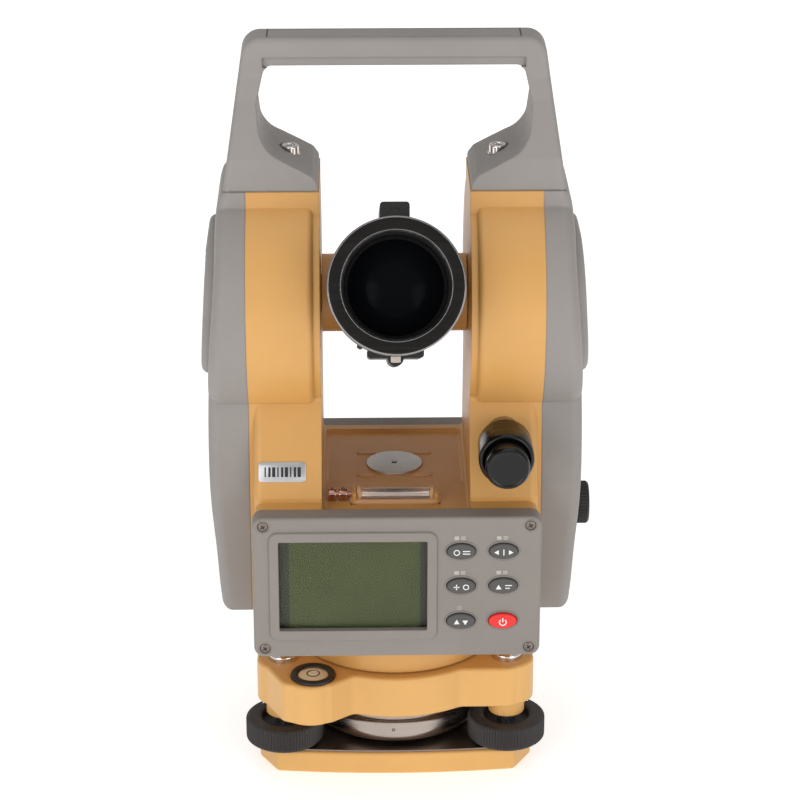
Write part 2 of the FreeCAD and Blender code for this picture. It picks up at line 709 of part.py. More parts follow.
def handle():
    """Carrying handle with splayed feet, a strip let into its grip and two cap screws."""
    low = "top + 0.02"
    half = [("71.9", low), ("62.6", "total_height")]
    inner = [
        ("54", "317.6"),
        ("57.6", "302"),
        ("56.6", "289.9"),
        ("52.6", "283.4"),
        ("39.4", "276.4"),
        ("34.5", "273.7"),
        ("32", "270.2"),
        ("32", low),
    ]
    outer = half + [(f"-{x}", z) for x, z in reversed(half)]
    under = [(f"-{x}", z) for x, z in reversed(inner)]
    outline = outer + under + inner
    arch = plate("handle_arch", "XZ_Plane", [outline], "60", "30")
    arch = round_body(arch, "8", lambda e: runs_along("y", e) and middle(e).z > value("total_height") - 0.1)
    round_body(arch, "4", lambda e: runs_along("y", e) and abs(middle(e).z - 317.6) < 0.1)
    arch = round_body(arch, "12", lambda e: runs_along("y", e) and 283 < middle(e).z < 290)
    arch = round_body(arch, "3", lambda e: runs_along("y", e) and 270 < middle(e).z < 274)
    side = [("-22.6", low), ("-21.6", "281"), ("-11.5", "303"), ("-9", "312"), ("-9", "total_height")]
    side += [(y[1:], z) for y, z in reversed(side)]
    depth = plate("handle_depth", "YZ_Plane", [side], "160", "-80")
    body = common("handle_raw", arch, depth)
    top = value("total_height")

    def rim(edge):
        """Long outer edges of the grip and legs."""
        at = middle(edge)
        outside = at.z > top - 0.1 or abs(at.x) > 58 + (top - at.z) * 0.1
        return outside and edge.Length > 8 and abs(at.y) > 5

    body = filleted("handle_round", body, "2.5", rim)
    depth = ("total_height - 1.6", "total_height + 1")
    strip = block("handle_strip_room", ("-53", "53"), ("-6.4", "6.4"), depth)
    holes = []
    for word, y in (("front", ("-12", "-7.5")), ("back", ("7.5", "12"))):
        holes.append(block(f"handle_rabbet_{word}", ("-54.8", "54.8"), y, ("317", "321.2")))
    for word, sign in (("left", "-1"), ("right", "1")):
        holes.append(rod(f"handle_seat_{word}", "z", ("277", "290"), "4.6", (f"44 * {sign}", "0")))
        holes.append(rod(f"handle_way_{word}", "z", ("top - 1", "280"), "2.6", (f"44 * {sign}", "0")))
    part("handle", cut("handle_bored", body, strip, *holes))
    strip = block("handle_strip", ("-52.8", "52.8"), ("-6.2", "6.2"), ("total_height - 1.6", "total_height"))
    part("handle_strip", filleted("handle_strip_round", strip, "0.8", lambda e: middle(e).z > top - 0.1))
    screws = []
    for word, sign in (("left", "-1"), ("right", "1")):
        at = (f"44 * {sign}", "0")
        head = rod(f"handle_screw_head_{word}", "z", ("277", "281"), "3.75", at)
        shank = rod(f"handle_screw_shank_{word}", "z", ("top - 6", "278"), "2.4", at)
        drive = rod(f"handle_screw_drive_{word}", "z", ("278.8", "282"), "1.9", at)
        screws.append(cut(f"handle_screw_{word}", fuse(f"handle_screw_solid_{word}", head, shank), drive))
    part("handle_screws", fuse("handle_screws", *screws))


# ---------------------------------------------------------------- display
KEY_SPOTS = [(x, z) for z in ("124.2", "108", "91.4") for x in ("27.2", "45")]


def oval(name, x, z, half_width, half_height, span):
    """Rounded-end block along y, centred on x and z."""
    across = (f"{x} - {half_width}", f"{x} + {half_width}")
    box = block(name, across, span, (f"{z} - {half_height}", f"{z} + {half_height}"))
    return filleted(name + "_round", box, f"{half_height} - 0.05", lambda e: runs_along("y", e))


def display():
    """Housing with the liquid-crystal panel behind its window, the circuit board and six oval keys."""
    front, back = "-display_front", "-display_back"
    height = ("display_low", "display_high")
    box = block("display_box", ("-display_half", "display_half"), (front, back), height)
    box = filleted("display_box_round", box, "4.5", lambda e: runs_along("y", e))
    face = -value("display_front")
    box = filleted("display_box_rim", box, "1.3", lambda e: max(v.Y for v in e.Vertexes) < face + 0.01)
    bezel = block("bezel", ("-54.1", "17.1"), (f"{front} - 1", f"{front} + 1"), ("82.5", "133.2"))
    bezel = filleted("bezel_round", bezel, "4", lambda e: runs_along("y", e))
    bezel = filleted("bezel_rim", bezel, "0.7", lambda e: max(v.Y for v in e.Vertexes) < face - 0.9)
    opening = block("display_opening", ("-50", "12.9"), (f"{front} - 2", f"{front} + 3"), ("87.3", "129"))
    opening = filleted("display_opening_round", opening, "0.8", lambda e: runs_along("y", e))
    inside = ("2 - display_half", "display_half - 2")
    height = ("display_low + 2", "display_high - 2")
    room = block("display_room", inside, (f"{front} + 2", f"{back} + 1"), height)
    tools = [room, opening]
    for i, (x, z) in enumerate(KEY_SPOTS, start=1):
        tools.append(oval(f"key_hole_{i}", x, z, "6.3", "3.8", (f"{front} - 1", f"{front} + 3")))
    posts = []
    screws = []
    for x in ("-56.3", "56.3"):
        for z in ("display_low + 4", "display_high - 4"):
            n = len(posts) + 1
            posts.append(rod(f"display_post_{n}", "y", (f"{front} + 1", back), "3", (x, z)))
            tools.append(rod(f"display_seat_{n}", "y", (f"{front} - 1", f"{front} + 1.2"), "2.5", (x, z)))
            head = rod(f"display_screw_head_{n}", "y", (f"{front} + 0.2", f"{front} + 1.2"), "2.45", (x, z))
            screws.append(head)
    solid = fuse("display_solid", box, bezel)
    shell = cut("display_shell", solid, *tools[:2])
    part("display_housing", cut("display_bored", fuse("display_posted", shell, *posts), *tools[2:]))
    part("display_screws", fuse("display_screws", *screws))
    window = block("display_window", ("-52.5", "15.5"), (f"{front} + 2.02", f"{front} + 3.4"), ("85", "131.3"))
    part("display_window", window)
    panel = block("display_panel", ("-51", "14"), (f"{front} + 3.45", f"{front} + 5.35"), ("86", "130.3"))
    part("display_panel", panel)
    board = block("display_board", ("-57", "57"), (f"{front} + 5.4", f"{front} + 7"), ("84.2", "131.6"))
    part("display_board", board)
    for i, (x, z) in enumerate(KEY_SPOTS, start=1):
        cap = oval(f"key_cap_{i}", x, z, "6", "3.5", (f"{front} - 1.9", f"{front} + 2.6"))
        tip = -value("display_front") - 1.9
        cap = filleted(f"key_cap_{i}_soft", cap, "0.8", lambda e: max(v.Y for v in e.Vertexes) < tip + 0.01)
        rim = oval(f"key_rim_{i}", x, z, "7.2", "4.7", (f"{front} + 2.3", f"{front} + 3.5"))
        part(f"key_{i}", fuse(f"key_{i}", cap, rim))


# ---------------------------------------------------------------- fittings on the alidade
def platform_fittings():
    """Serial plate, centre mark and the plate level with its adjusting screw."""
    slope = math.degrees(math.atan2(value("front - waist_depth"), value("panel_low - display_high - 1.3")))
    plate_box = doc.addObject("Part::Box", "serial_blank")
    plate_box.Length = 20.2
    plate_box.Width = 0.4
    plate_box.Height = 8.6
    tilt = Rotation(Vector(1, 0, 0), -slope)
    share = (151.2 - value("display_high + 1.3")) / value("panel_low - display_high - 1.3")
    y = -value("front") + share * value("front - waist_depth")
    centre = Vector(-48.3, y, 151.2)
    plate_box.Placement = FreeCAD.Placement(centre + tilt.multVec(Vector(-10.1, -0.42, -4.3)), tilt)
    part("serial_plate", plate_box)
    disc = cut(
        "centre_disc",
        rod("centre_disc_blank", "z", ("platform - 1.59", "platform - 0.7"), "12.4", ("0", "0")),
        rod("centre_dimple", "z", ("platform - 1.3", "platform"), "1.25", ("0", "0")),
    )
    part("centre_mark", disc)
    axis = ("-41", "platform + 2")
    box = block("level_box", ("-18.8", "18.4"), ("-46", "-36"), ("platform - 2.58", "platform + 4.8"))
    box = filleted("level_box_round", box, "1.2", lambda e: runs_along("z", e))
    trough = block("level_trough", ("-16.8", "16.4"), ("-47", "-35"), ("platform - 1.3", "platform + 6"))
    bed = rod("level_bed", "x", ("-18", "17.6"), "3.25", axis)
    part("plate_level_holder", cut("level_holder", box, trough, bed))
    part("plate_level_vial", rod("plate_level_vial", "x", ("-17", "16.6"), "3.2", axis))
    axis = ("-41", "platform + 2.6")
    stem = rod("adjust_stem", "x", ("-28.6", "-18.82"), "1.5", axis)
    nuts = [
        rod("adjust_nut_outer", "x", ("-29.1", "-25.6"), "2.58", axis),
        rod("adjust_nut_inner", "x", ("-24.4", "-20.9"), "2.58", axis),
    ]
    part("plate_level_screw", fuse("adjust_screw", stem, *nuts))


def drives():
    """Two coaxial drives, each a fixed body, a clamp collar on its neck and a tangent screw through it."""
    axes = [
        ("vertical", "-y", "drive_x", "drive_z", ("27", "48.2")),
        ("horizontal", "+y", "slow_x", "slow_z", ("30", "54.4")),
    ]
    for name, way, x, z, (inside, face) in axes:
        at = (x, "0", z)
        near = f"{face} + 0.3"
        body = [
            ("2.4 + running", inside),
            ("8", inside),
            ("8", face),
            ("5", face),
            ("5", f"{face} + 18.4"),
            ("2.4 + running", f"{face} + 18.4"),
        ]
        collar = [
            ("5 + running", near),
            ("collar_r - 1", near),
            ("collar_r", f"{near} + 1"),
            ("collar_r", f"{near} + 17.4"),
            ("collar_r - 1.2", f"{near} + 18.4"),
            ("5 + running", f"{near} + 18.4"),
        ]
        tip = f"{near} + 18.8"
        screw = [
            ("0", f"{inside} + 4"),
            ("2.4", f"{inside} + 4"),
            ("2.4", tip),
            ("screw_cap_r - 1", tip),
            ("screw_cap_r", f"{tip} + 1"),
            ("screw_cap_r", f"{tip} + 7.2"),
            ("screw_cap_r - 1.8", f"{tip} + 9"),
            ("0", f"{tip} + 9"),
        ]
        turn = Rotation(Vector(1, 0, 0), 90 if way == "-y" else -90)
        for label, profile in ((f"{name}_drive_body", body), (f"{name}_clamp_knob", collar)):
            part(label, aimed(turned(label, profile, at), turn))
        part(f"{name}_tangent_knob", aimed(turned(f"{name}_tangent_knob", screw, at), turn))


def aimed(body, turn):
    """Turns a placed body about its own origin."""
    body.Placement = FreeCAD.Placement(body.Placement.Base, turn)
    return body


def optical_plummet():
    """Tube that looks down the vertical axis from the side, and its focusing eyepiece."""
    at = ("0", "0", "plummet_z")
    tube_profile = [
        ("5", "8"),
        ("8", "8"),
        ("8", "79.4"),
        ("6 + running", "79.4"),
        ("6 + running", "60"),
        ("5", "60"),
    ]
    part("plummet_tube", turned("plummet_tube", tube_profile, at, "x"))
    eyepiece = [
        ("0", "61"),
        ("6", "61"),
        ("6", "80.2"),
        ("plummet_r - 0.8", "80.2"),
        ("plummet_r", "81"),
        ("plummet_r", "85.6"),
        ("plummet_r - 1", "86.5"),
        ("6.4", "86.5"),
        ("5", "85"),
        ("0", "85"),
    ]
    part("plummet_eyepiece", turned("plummet_eyepiece", eyepiece, at, "x"))


def bushes():
    """Bearings of the telescope's axle."""
    rings = []
    spans = (("left", ("-standard_in - 6", "-standard_in")), ("right", ("standard_in", "standard_in + 6")))
    for word, span in spans:
        rings.append(tube(f"bush_{word}", "x", span, "14", "8 + running", ("0", "axis_height")))
    part("trunnion_bushes", fuse("trunnion_bushes", *rings))


# ---------------------------------------------------------------- telescope
def telescope():
    """Barrel with hubs and axle, drawn level with the objective at -Y and tilted at the end."""
    barrel = rod("barrel", "y", ("-46", "32"), "25", ("0", "0"))
    barrel = filleted("barrel_round", barrel, "2", lambda e: middle(e).y > 31)
    neck = cone("barrel_neck", "y", ("31", "44"), ("21", "17"), ("0", "0"))
    hub = rod("hub", "x", ("-31.1", "31.1"), "hub_r", ("0", "0"))
    axle = rod("axle", "x", ("-44", "47.2"), "8", ("0", "0"))
    solid = fuse("telescope_solid", barrel, neck, hub, axle)
    bores = [
        rod("barrel_bore", "y", ("-47", "30"), "22", ("0", "0")),
        rod("eye_bore", "y", ("29", "45"), "12.5", ("0", "0")),
        tube("hood_seat", "y", ("-47", "-40"), "26", "24", ("0", "0")),
    ]
    part("telescope_body", on_telescope(cut("telescope_body", solid, *bores)))
    disc = tube("vertical_circle", "x", ("44", "46"), "24", "8", ("0", "0"))
    part("vertical_circle", on_telescope(disc))
    front = "-hood_front"
    hood = tube("hood_blank", "y", (front, "-40.1"), "hood_r", "24", ("0", "0"))
    tip = -value("hood_front")
    hood = filleted("hood_round", hood, "0.6", lambda e: middle(e).y < tip + 0.01 and e.BoundBox.XLength > 50)
    lip = tube("hood_lip", "y", (front, "-50.2"), "24.2", "aperture_r", ("0", "0"))
    mouth = cone("hood_mouth", "y", (front, f"{front} + 1.25"), ("aperture_r + 1.25", "aperture_r"), ("0", "0"))
    part("objective_hood", on_telescope(cut("objective_hood", fuse("hood_lipped", hood, lip), mouth)))
    dome = [("22", "49.9"), ("18", "51.8"), ("12", "53.4"), ("6", "54.3"), ("0", "54.6")]
    lens = turned("lens", [("0", "46.2"), ("22", "46.2"), *dome])
    part("objective_lens", on_telescope(aimed(lens, Rotation(Vector(1, 0, 0), 90))))
    for word, side, low in (("top", 1, "24.4"), ("bottom", -1, "24.4")):
        span = (low, "36.7") if side > 0 else ("-28.95", f"-{low}")
        half = "6.3" if side > 0 else "11.9"
        box = block(f"sight_{word}", (f"-{half}", half), ("-36", "26"), span)
        box = filleted(f"sight_{word}_round", box, "1.5", lambda e: runs_along("y", e))
        tools = [rod(f"sight_{word}_fit", "y", ("-50", "40"), "25.02", ("0", "0"))]
        if side > 0:
            tools.append(rod("sight_top_bore", "y", ("-40", "40"), "2.6", ("0", "31.5")))
            part("top_sight", on_telescope(cut("top_sight", box, *tools)))
        else:
            rail = rod("sight_rod", "y", ("-36", "26"), "3.35", ("0", "-29.05"))
            solid = fuse("bottom_sight_solid", box, rail)
            part("bottom_sight", on_telescope(cut("bottom_sight", solid, *tools)))
    ring = tube("focus_ring", "y", ("44.4", "58"), "20.5", "13.5 + running", ("0", "0"))
    part("focus_ring", on_telescope(ring))
    tube_in = tube("eye_tube", "y", ("30.1", "62"), "12.5", "9", ("0", "0"))
    seat = tube("eye_seat", "y", ("44.02", "62"), "13.5", "9", ("0", "0"))
    part("eyepiece_tube", on_telescope(fuse("eyepiece_tube", tube_in, seat)))
    eye = turned(
        "eyepiece",
        [
            ("0", "50"),
            ("9 - running", "50"),
            ("9 - running", "62.4"),
            ("14.6", "62.4"),
            ("14.6", "70"),
            ("12", "74"),
            ("7", "74"),
            ("6", "72.6"),
            ("0", "72.6"),
        ],
    )
    part("eyepiece", on_telescope(aimed(eye, Rotation(Vector(1, 0, 0), -90))))


def main():
    base_plate()
    spring_plate()
    foot_screws()
    levelling_head()
    head_fittings()
    vertical_axis()
    alidade_frame()
    side_covers()
    rear_cover()
    handle()
    display()
    platform_fittings()
    drives()
    optical_plummet()
    bushes()
    telescope()


main()
doc.recompute()

troubled = [o.Name for o in doc.Objects if "Invalid" in o.State or "Error" in o.State]
if troubled:
    raise RuntimeError(f"objects that failed: {troubled}")
os.makedirs("parts", exist_ok=True)
for obj in PARTS:
    shape = obj.Shape
    if shape.isNull() or not shape.isValid():
        raise RuntimeError(f"{obj.Label} has no valid shape")
    shape.exportStep(f"parts/{obj.Label}.step")
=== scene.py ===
"""Looks of the surveying instrument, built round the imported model.

Sizes are millimetres in the model's own frame, and mm() turns them into metres.
The display faces -Y and +Z is up. The telescope's pieces are drawn level, along -Y, and then tilted with it.
"""

import math

import bmesh
import bpy
from mathutils import Matrix, Vector


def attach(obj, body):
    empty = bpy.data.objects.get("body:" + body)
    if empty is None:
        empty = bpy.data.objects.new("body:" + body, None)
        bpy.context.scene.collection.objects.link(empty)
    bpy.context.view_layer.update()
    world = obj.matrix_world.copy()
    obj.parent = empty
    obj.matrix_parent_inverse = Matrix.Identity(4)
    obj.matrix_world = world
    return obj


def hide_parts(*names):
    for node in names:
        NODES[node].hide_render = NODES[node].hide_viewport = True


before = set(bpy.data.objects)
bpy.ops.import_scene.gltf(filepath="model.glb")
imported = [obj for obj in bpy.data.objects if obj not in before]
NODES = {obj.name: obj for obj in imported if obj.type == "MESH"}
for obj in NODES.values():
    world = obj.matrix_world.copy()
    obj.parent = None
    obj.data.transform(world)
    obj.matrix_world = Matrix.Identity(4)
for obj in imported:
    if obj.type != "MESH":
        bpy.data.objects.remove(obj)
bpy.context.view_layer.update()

MM = 0.001
HERE = Matrix.Identity(4)

# Base and levelling head
FEET = {"left": 210, "right": 330, "rear": 90}
FOOT_CIRCLE = 57.4
WHEEL_LOW = 12.1
WHEEL_HIGH = 23.3
WHEEL_R = 17.3
HEAD_TOP = 52.2
ROUND_LEVEL = (-36.4, -46.5)
ROUND_LEVEL_DROP = -2.8

# Telescope, measured from its tilting axis
TILT = math.radians(-22.5)
AXIS = Vector((0, 0, 214.2)) * MM
ON_TELESCOPE = Matrix.Translation(AXIS) @ Matrix.Rotation(TILT, 4, "X")
HOOD_R = 28.4
HOOD_TIP = 74.0
HOOD_BORE = 22.4
SIGHT_HEIGHT = 31.5

# Alidade
KEYS = [(x, z) for z in (124.2, 108.0, 91.4) for x in (27.2, 45.0)]
DISPLAY_FACE = 70.98
PLATFORM = 133.0
PLATE_LEVEL_Y = -41
PLATE_LEVEL_Z = 136.6
CAPSTAN_Z = 137.2
PLUMMET_Z = 113.8
HANDLE_SCREW_X = 44
HANDLE_SEAT = 277.05


def mm(*numbers):
    """Millimetres to a vector in metres, or to one length."""
    return numbers[0] * MM if len(numbers) == 1 else Vector(numbers) * MM


def srgb(red, green, blue):
    """A screen colour, 0 to 255, as linear light."""
    shares = [c / 255 for c in (red, green, blue)]
    return tuple(c / 12.92 if c <= 10 / 255 else ((c + 0.055) / 1.055) ** 2.4 for c in shares)


# ---------------------------------------------------------------- shapes
def smooth(mesh, angle=35):
    """Smooth shading, with edges sharper than the angle kept crisp."""
    mesh.shade_smooth()
    mesh.set_sharp_from_angle(angle=math.radians(angle))


def piece(name, maker, material, body, at=None, instead_of=(), angle=35):
    """Makes an object from a bmesh, seats it by a matrix and lets it ride on a body."""
    mesh = bpy.data.meshes.new(name)
    bmesh.ops.recalc_face_normals(maker, faces=maker.faces)
    maker.to_mesh(mesh)
    maker.free()
    if at:
        mesh.transform(at)
    smooth(mesh, angle)
    mesh.materials.append(material)
    thing = bpy.data.objects.new(name, mesh)
    bpy.context.scene.collection.objects.link(thing)
    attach(thing, body)
    if instead_of:
        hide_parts(*instead_of)
    return thing


def soften(points, radius, steps=4):
    """Rounds the corners of an open outline of (a, b) points, each by at most a radius."""
    spots = [Vector(p) for p in points]
    made = [spots[0]]
    for before, corner, after in zip(spots, spots[1:], spots[2:]):
        reach_in = min(radius, 0.45 * (before - corner).length)
        reach_out = min(radius, 0.45 * (after - corner).length)
        start = corner + (before - corner).normalized() * reach_in
        end = corner + (after - corner).normalized() * reach_out
        for k in range(steps + 1):
            t = k / steps
            made.append(start * (1 - t) ** 2 + corner * 2 * t * (1 - t) + end * t ** 2)
    return made + [spots[-1]]


def lathe(profile, steps=96, ribs=0, depth=0.0, band=(0, 0), closed=False):
    """Turns (radius, height) points about Z, with ribs cut into the widest part inside a band of heights."""
    maker = bmesh.new()
    widest = max(p[0] for p in profile)
    rings = []
    for radius, height in profile:
        if radius < 1e-6:
            rings.append([maker.verts.new((0, 0, height * MM))])
            continue
        ring = []
        inside = ribs and band[0] <= height <= band[1] and radius > widest - depth - 1.2
        for k in range(steps):
            turn = 2 * math.pi * k / steps
            drop = depth * (0.5 - 0.5 * math.cos(ribs * turn)) ** 0.7 if inside else 0
            reach = (radius - drop) * MM
            ring.append(maker.verts.new((reach * math.cos(turn), reach * math.sin(turn), height * MM)))
        rings.append(ring)
    pairs = list(zip(rings, rings[1:])) + ([(rings[-1], rings[0])] if closed else [])
    for low, high in pairs:
        for k in range(steps):
            corners = []
            for ring, index in ((low, k), (low, k + 1), (high, k + 1), (high, k)):
                vert = ring[index % len(ring)] if len(ring) > 1 else ring[0]
                if vert not in corners:
                    corners.append(vert)
            if len(corners) > 2:
                maker.faces.new(corners)
    return maker


def slab(outline, low, high, crown=0.0, rim=0.0, steps=3):
    """A flat piece between two heights from a closed (x, y) outline, with a rounded rim and a crown."""
    maker = bmesh.new()
    middle = sum((Vector(p) for p in outline), Vector((0, 0))) / len(outline)
    levels = [(1.0, low), (1.0, high - rim)]
    size = max((Vector(p) - middle).length for p in outline)
    for k in range(1, steps + 1):
        turn = math.pi / 2 * k / steps
        levels.append((1 - rim / size * (1 - math.cos(turn)), high - rim + rim * math.sin(turn)))
    if crown:
        for share in (0.75, 0.5, 0.25):
            levels.append((share * (1 - rim / size), high + crown * (1 - share ** 2)))
    rings = []
    for share, height in levels:
        spots = [middle + (Vector(p) - middle) * share for p in outline]
        rings.append([maker.verts.new((p.x * MM, p.y * MM, height * MM)) for p in spots])
    count = len(outline)
    for below, above in zip(rings, rings[1:]):
        for k in range(count):
            maker.faces.new((below[k], below[(k + 1) % count], above[(k + 1) % count], above[k]))
    maker.faces.new(rings[0])
    maker.faces.new(rings[-1])
    return maker


def ellipse(half_width, half_height, steps=48, power=2.0):
    """Outline of an ellipse, squarer as power rises."""
    points = []
    for k in range(steps):
        turn = 2 * math.pi * k / steps
        c, s = math.cos(turn), math.sin(turn)
        x = half_width * math.copysign(abs(c) ** (2 / power), c)
        y = half_height * math.copysign(abs(s) ** (2 / power), s)
        points.append((x, y))
    return points


def bar(width, height, thickness, soft=0.2):
    """A rounded bar lying on z = 0."""
    across, up = width / 2, height / 2
    points = soften([(0, -up), (across, -up), (across, up), (0, up)], soft, 3)
    left = [(-x, y) for x, y in reversed(points[1:-1])]
    return slab([tuple(p) for p in points[:-1]] + [tuple(points[-1])] + left, 0, thickness)


def hoop(path, height, radius, sides=12):
    """A round bead that follows a closed (x, y) path at one height."""
    maker = bmesh.new()
    rings = []
    for before, here, after in zip(path[-1:] + path[:-1], path, path[1:] + path[:1]):
        along = (Vector(after) - Vector(before)).normalized()
        ring = []
        for k in range(sides):
            turn = 2 * math.pi * k / sides
            out = radius * math.cos(turn)
            spot = (here[0] + along.y * out, here[1] - along.x * out, height + radius * math.sin(turn))
            ring.append(maker.verts.new(mm(*spot)))
        rings.append(ring)
    for one, two in zip(rings, rings[1:] + rings[:1]):
        for k in range(sides):
            maker.faces.new((one[k], one[(k + 1) % sides], two[(k + 1) % sides], two[k]))
    return maker


def joined(*makers_and_places):
    """One bmesh from several, each moved by its matrix."""
    whole = bmesh.new()
    for maker, place in makers_and_places:
        bmesh.ops.transform(maker, matrix=place, verts=maker.verts)
        scratch = bpy.data.meshes.new("scratch")
        maker.to_mesh(scratch)
        maker.free()
        whole.from_mesh(scratch)
        bpy.data.meshes.remove(scratch)
    return whole


def shift(x=0.0, y=0.0, z=0.0):
    """A move in millimetres."""
    return Matrix.Translation(mm(x, y, z))


def facing(direction):
    """Turns a shape's +Z to a direction, with its +Y kept upwards where it can be."""
    table = {
        "-y": Matrix(((1, 0, 0, 0), (0, 0, -1, 0), (0, 1, 0, 0), (0, 0, 0, 1))),
        "+y": Matrix(((-1, 0, 0, 0), (0, 0, 1, 0), (0, 1, 0, 0), (0, 0, 0, 1))),
        "+x": Matrix(((0, 0, 1, 0), (1, 0, 0, 0), (0, 1, 0, 0), (0, 0, 0, 1))),
        "-x": Matrix(((0, 0, -1, 0), (-1, 0, 0, 0), (0, 1, 0, 0), (0, 0, 0, 1))),
        "+z": HERE,
    }
    return table[direction]


def foot_place(name):
    """Where a foot screw's axis meets the ground."""
    turn = math.radians(FEET[name])
    return shift(FOOT_CIRCLE * math.cos(turn), FOOT_CIRCLE * math.sin(turn))


# ---------------------------------------------------------------- materials
class Look:
    """A principled material and the few node groups that the looks share."""

    def __init__(self, name, colour, roughness, metallic=0.0, **sockets):
        self.material = bpy.data.materials.new(name)
        self.material.use_nodes = True
        self.tree = self.material.node_tree
        self.shader = self.tree.nodes["Principled BSDF"]
        self.colour = colour
        self.shader.inputs["Base Color"].default_value = (*colour, 1)
        self.shader.inputs["Roughness"].default_value = roughness
        self.shader.inputs["Metallic"].default_value = metallic
        for socket, number in sockets.items():
            self.shader.inputs[socket.replace("_", " ")].default_value = number
        self.normal = None
        self.where = self.add("ShaderNodeTexCoord").outputs["Object"]

    def add(self, kind, **settings):
        node = self.tree.nodes.new(kind)
        for word, setting in settings.items():
            setattr(node, word, setting)
        return node

    def link(self, source, target):
        self.tree.links.new(source, target)

    def noise(self, scale, detail=3.0, rough=0.6, where=None):
        node = self.add("ShaderNodeTexNoise")
        node.inputs["Scale"].default_value = scale
        node.inputs["Detail"].default_value = detail
        node.inputs["Roughness"].default_value = rough
        self.link(where or self.where, node.inputs["Vector"])
        return node.outputs["Fac"]

    def spread(self, factor, low, high, start=0.3, end=0.7):
        """Maps a factor from start..end to low..high."""
        node = self.add("ShaderNodeMapRange")
        for word, number in (("From Min", start), ("From Max", end), ("To Min", low), ("To Max", high)):
            node.inputs[word].default_value = number
        self.link(factor, node.inputs["Value"])
        return node.outputs["Result"]

    def bevelled(self, radius):
        """Softens every edge's shading by a radius in metres."""
        node = self.add("ShaderNodeBevel", samples=4)
        node.inputs["Radius"].default_value = radius
        self.normal = node.outputs["Normal"]
        self.link(self.normal, self.shader.inputs["Normal"])
        return self

    def bump(self, height, distance, strength=1.0):
        node = self.add("ShaderNodeBump")
        node.inputs["Distance"].default_value = distance
        node.inputs["Strength"].default_value = strength
        self.link(height, node.inputs["Height"])
        if self.normal:
            self.link(self.normal, node.inputs["Normal"])
        self.normal = node.outputs["Normal"]
        self.link(self.normal, self.shader.inputs["Normal"])
        return self

    def shade(self, factor, darker, lighter):
        """Varies the base colour between two multiples of itself."""
        mix = self.add("ShaderNodeMix", data_type="RGBA")
        mix.inputs[6].default_value = (*(c * darker for c in self.colour), 1)
        mix.inputs[7].default_value = (*(min(1, c * lighter) for c in self.colour), 1)
        self.link(factor, mix.inputs[0])
        self.link(mix.outputs[2], self.shader.inputs["Base Color"])
        return self

    def roughen(self, factor, low, high):
        self.link(self.spread(factor, low, high), self.shader.inputs["Roughness"])
        return self

    def radius(self, axis):
        """Distance from a line through the origin along an axis."""
        node = self.add("ShaderNodeVectorMath", operation="MULTIPLY")
        node.inputs[1].default_value = tuple(0 if word == axis else 1 for word in "xyz")
        self.link(self.where, node.inputs[0])
        size = self.add("ShaderNodeVectorMath", operation="LENGTH")
        self.link(node.outputs[0], size.inputs[0])
        return size.outputs["Value"]


def paint(name, colour, grain=1700, roughness=0.42):
    """Stoved paint on a casting: a fine orange peel and slow changes of tone."""
    look = Look(name, colour, roughness, Specular_IOR_Level=0.45, Coat_Weight=0.12, Coat_Roughness=0.3)
    look.bevelled(mm(0.9))
    look.bump(look.noise(grain, 2.0), mm(0.02), 0.7)
    look.bump(look.noise(260, 2.0), mm(0.03), 0.35)
    look.shade(look.spread(look.noise(14, 4.0), 0, 1), 0.94, 1.05)
    look.roughen(look.noise(60, 3.0), roughness - 0.05, roughness + 0.07)
    return look.material


def moulded(name, colour, grain=1300, roughness=0.55, depth=0.03, edge=0.3):
    """Moulded plastic with the pebble grain of an etched tool."""
    look = Look(name, colour, roughness, Specular_IOR_Level=0.4)
    look.bevelled(mm(edge))
    cells = look.add("ShaderNodeTexVoronoi", feature="SMOOTH_F1")
    cells.inputs["Scale"].default_value = grain
    look.link(look.where, cells.inputs["Vector"])
    look.bump(cells.outputs["Distance"], mm(depth), 0.6)
    look.shade(look.spread(look.noise(22, 4.0), 0, 1), 0.95, 1.05)
    look.roughen(look.noise(400, 2.0), roughness - 0.06, roughness + 0.08)
    return look.material


def turned_metal(name, colour, axis, roughness=0.28, rings=2600, depth=0.012):
    """Metal from a lathe: fine rings about an axis through the object's origin."""
    look = Look(name, colour, roughness, 1.0)
    look.bevelled(mm(0.2))
    height = look.add("ShaderNodeSeparateXYZ")
    look.link(look.where, height.inputs[0])
    along = height.outputs["XYZ".index(axis.upper())]
    pair = look.add("ShaderNodeCombineXYZ")
    look.link(look.radius(axis), pair.inputs[0])
    look.link(along, pair.inputs[1])
    lines = look.noise(rings, 1.0, 0.4, pair.outputs[0])
    look.bump(lines, mm(depth), 0.5)
    look.roughen(look.noise(rings / 3, 2.0, 0.5, pair.outputs[0]), roughness - 0.08, roughness + 0.14)
    look.shade(look.spread(look.noise(35, 3.0), 0, 1), 0.9, 1.05)
    return look.material


def bright_metal(name, colour, roughness=0.12):
    """Plated or polished metal with faint smears."""
    look = Look(name, colour, roughness, 1.0)
    look.bevelled(mm(0.15))
    look.bump(look.noise(900, 2.0), mm(0.002), 0.15)
    look.roughen(look.noise(120, 4.0), roughness - 0.03, roughness + 0.08)
    return look.material


def clear(name, colour, roughness=0.02, ior=1.5, tint=0.9):
    """Clear glass or acrylic with a trace of dust in its gloss."""
    look = Look(name, colour, roughness, 0.0, IOR=ior, Transmission_Weight=tint)
    look.roughen(look.noise(180, 4.0), roughness, roughness + 0.03)
    return look.material


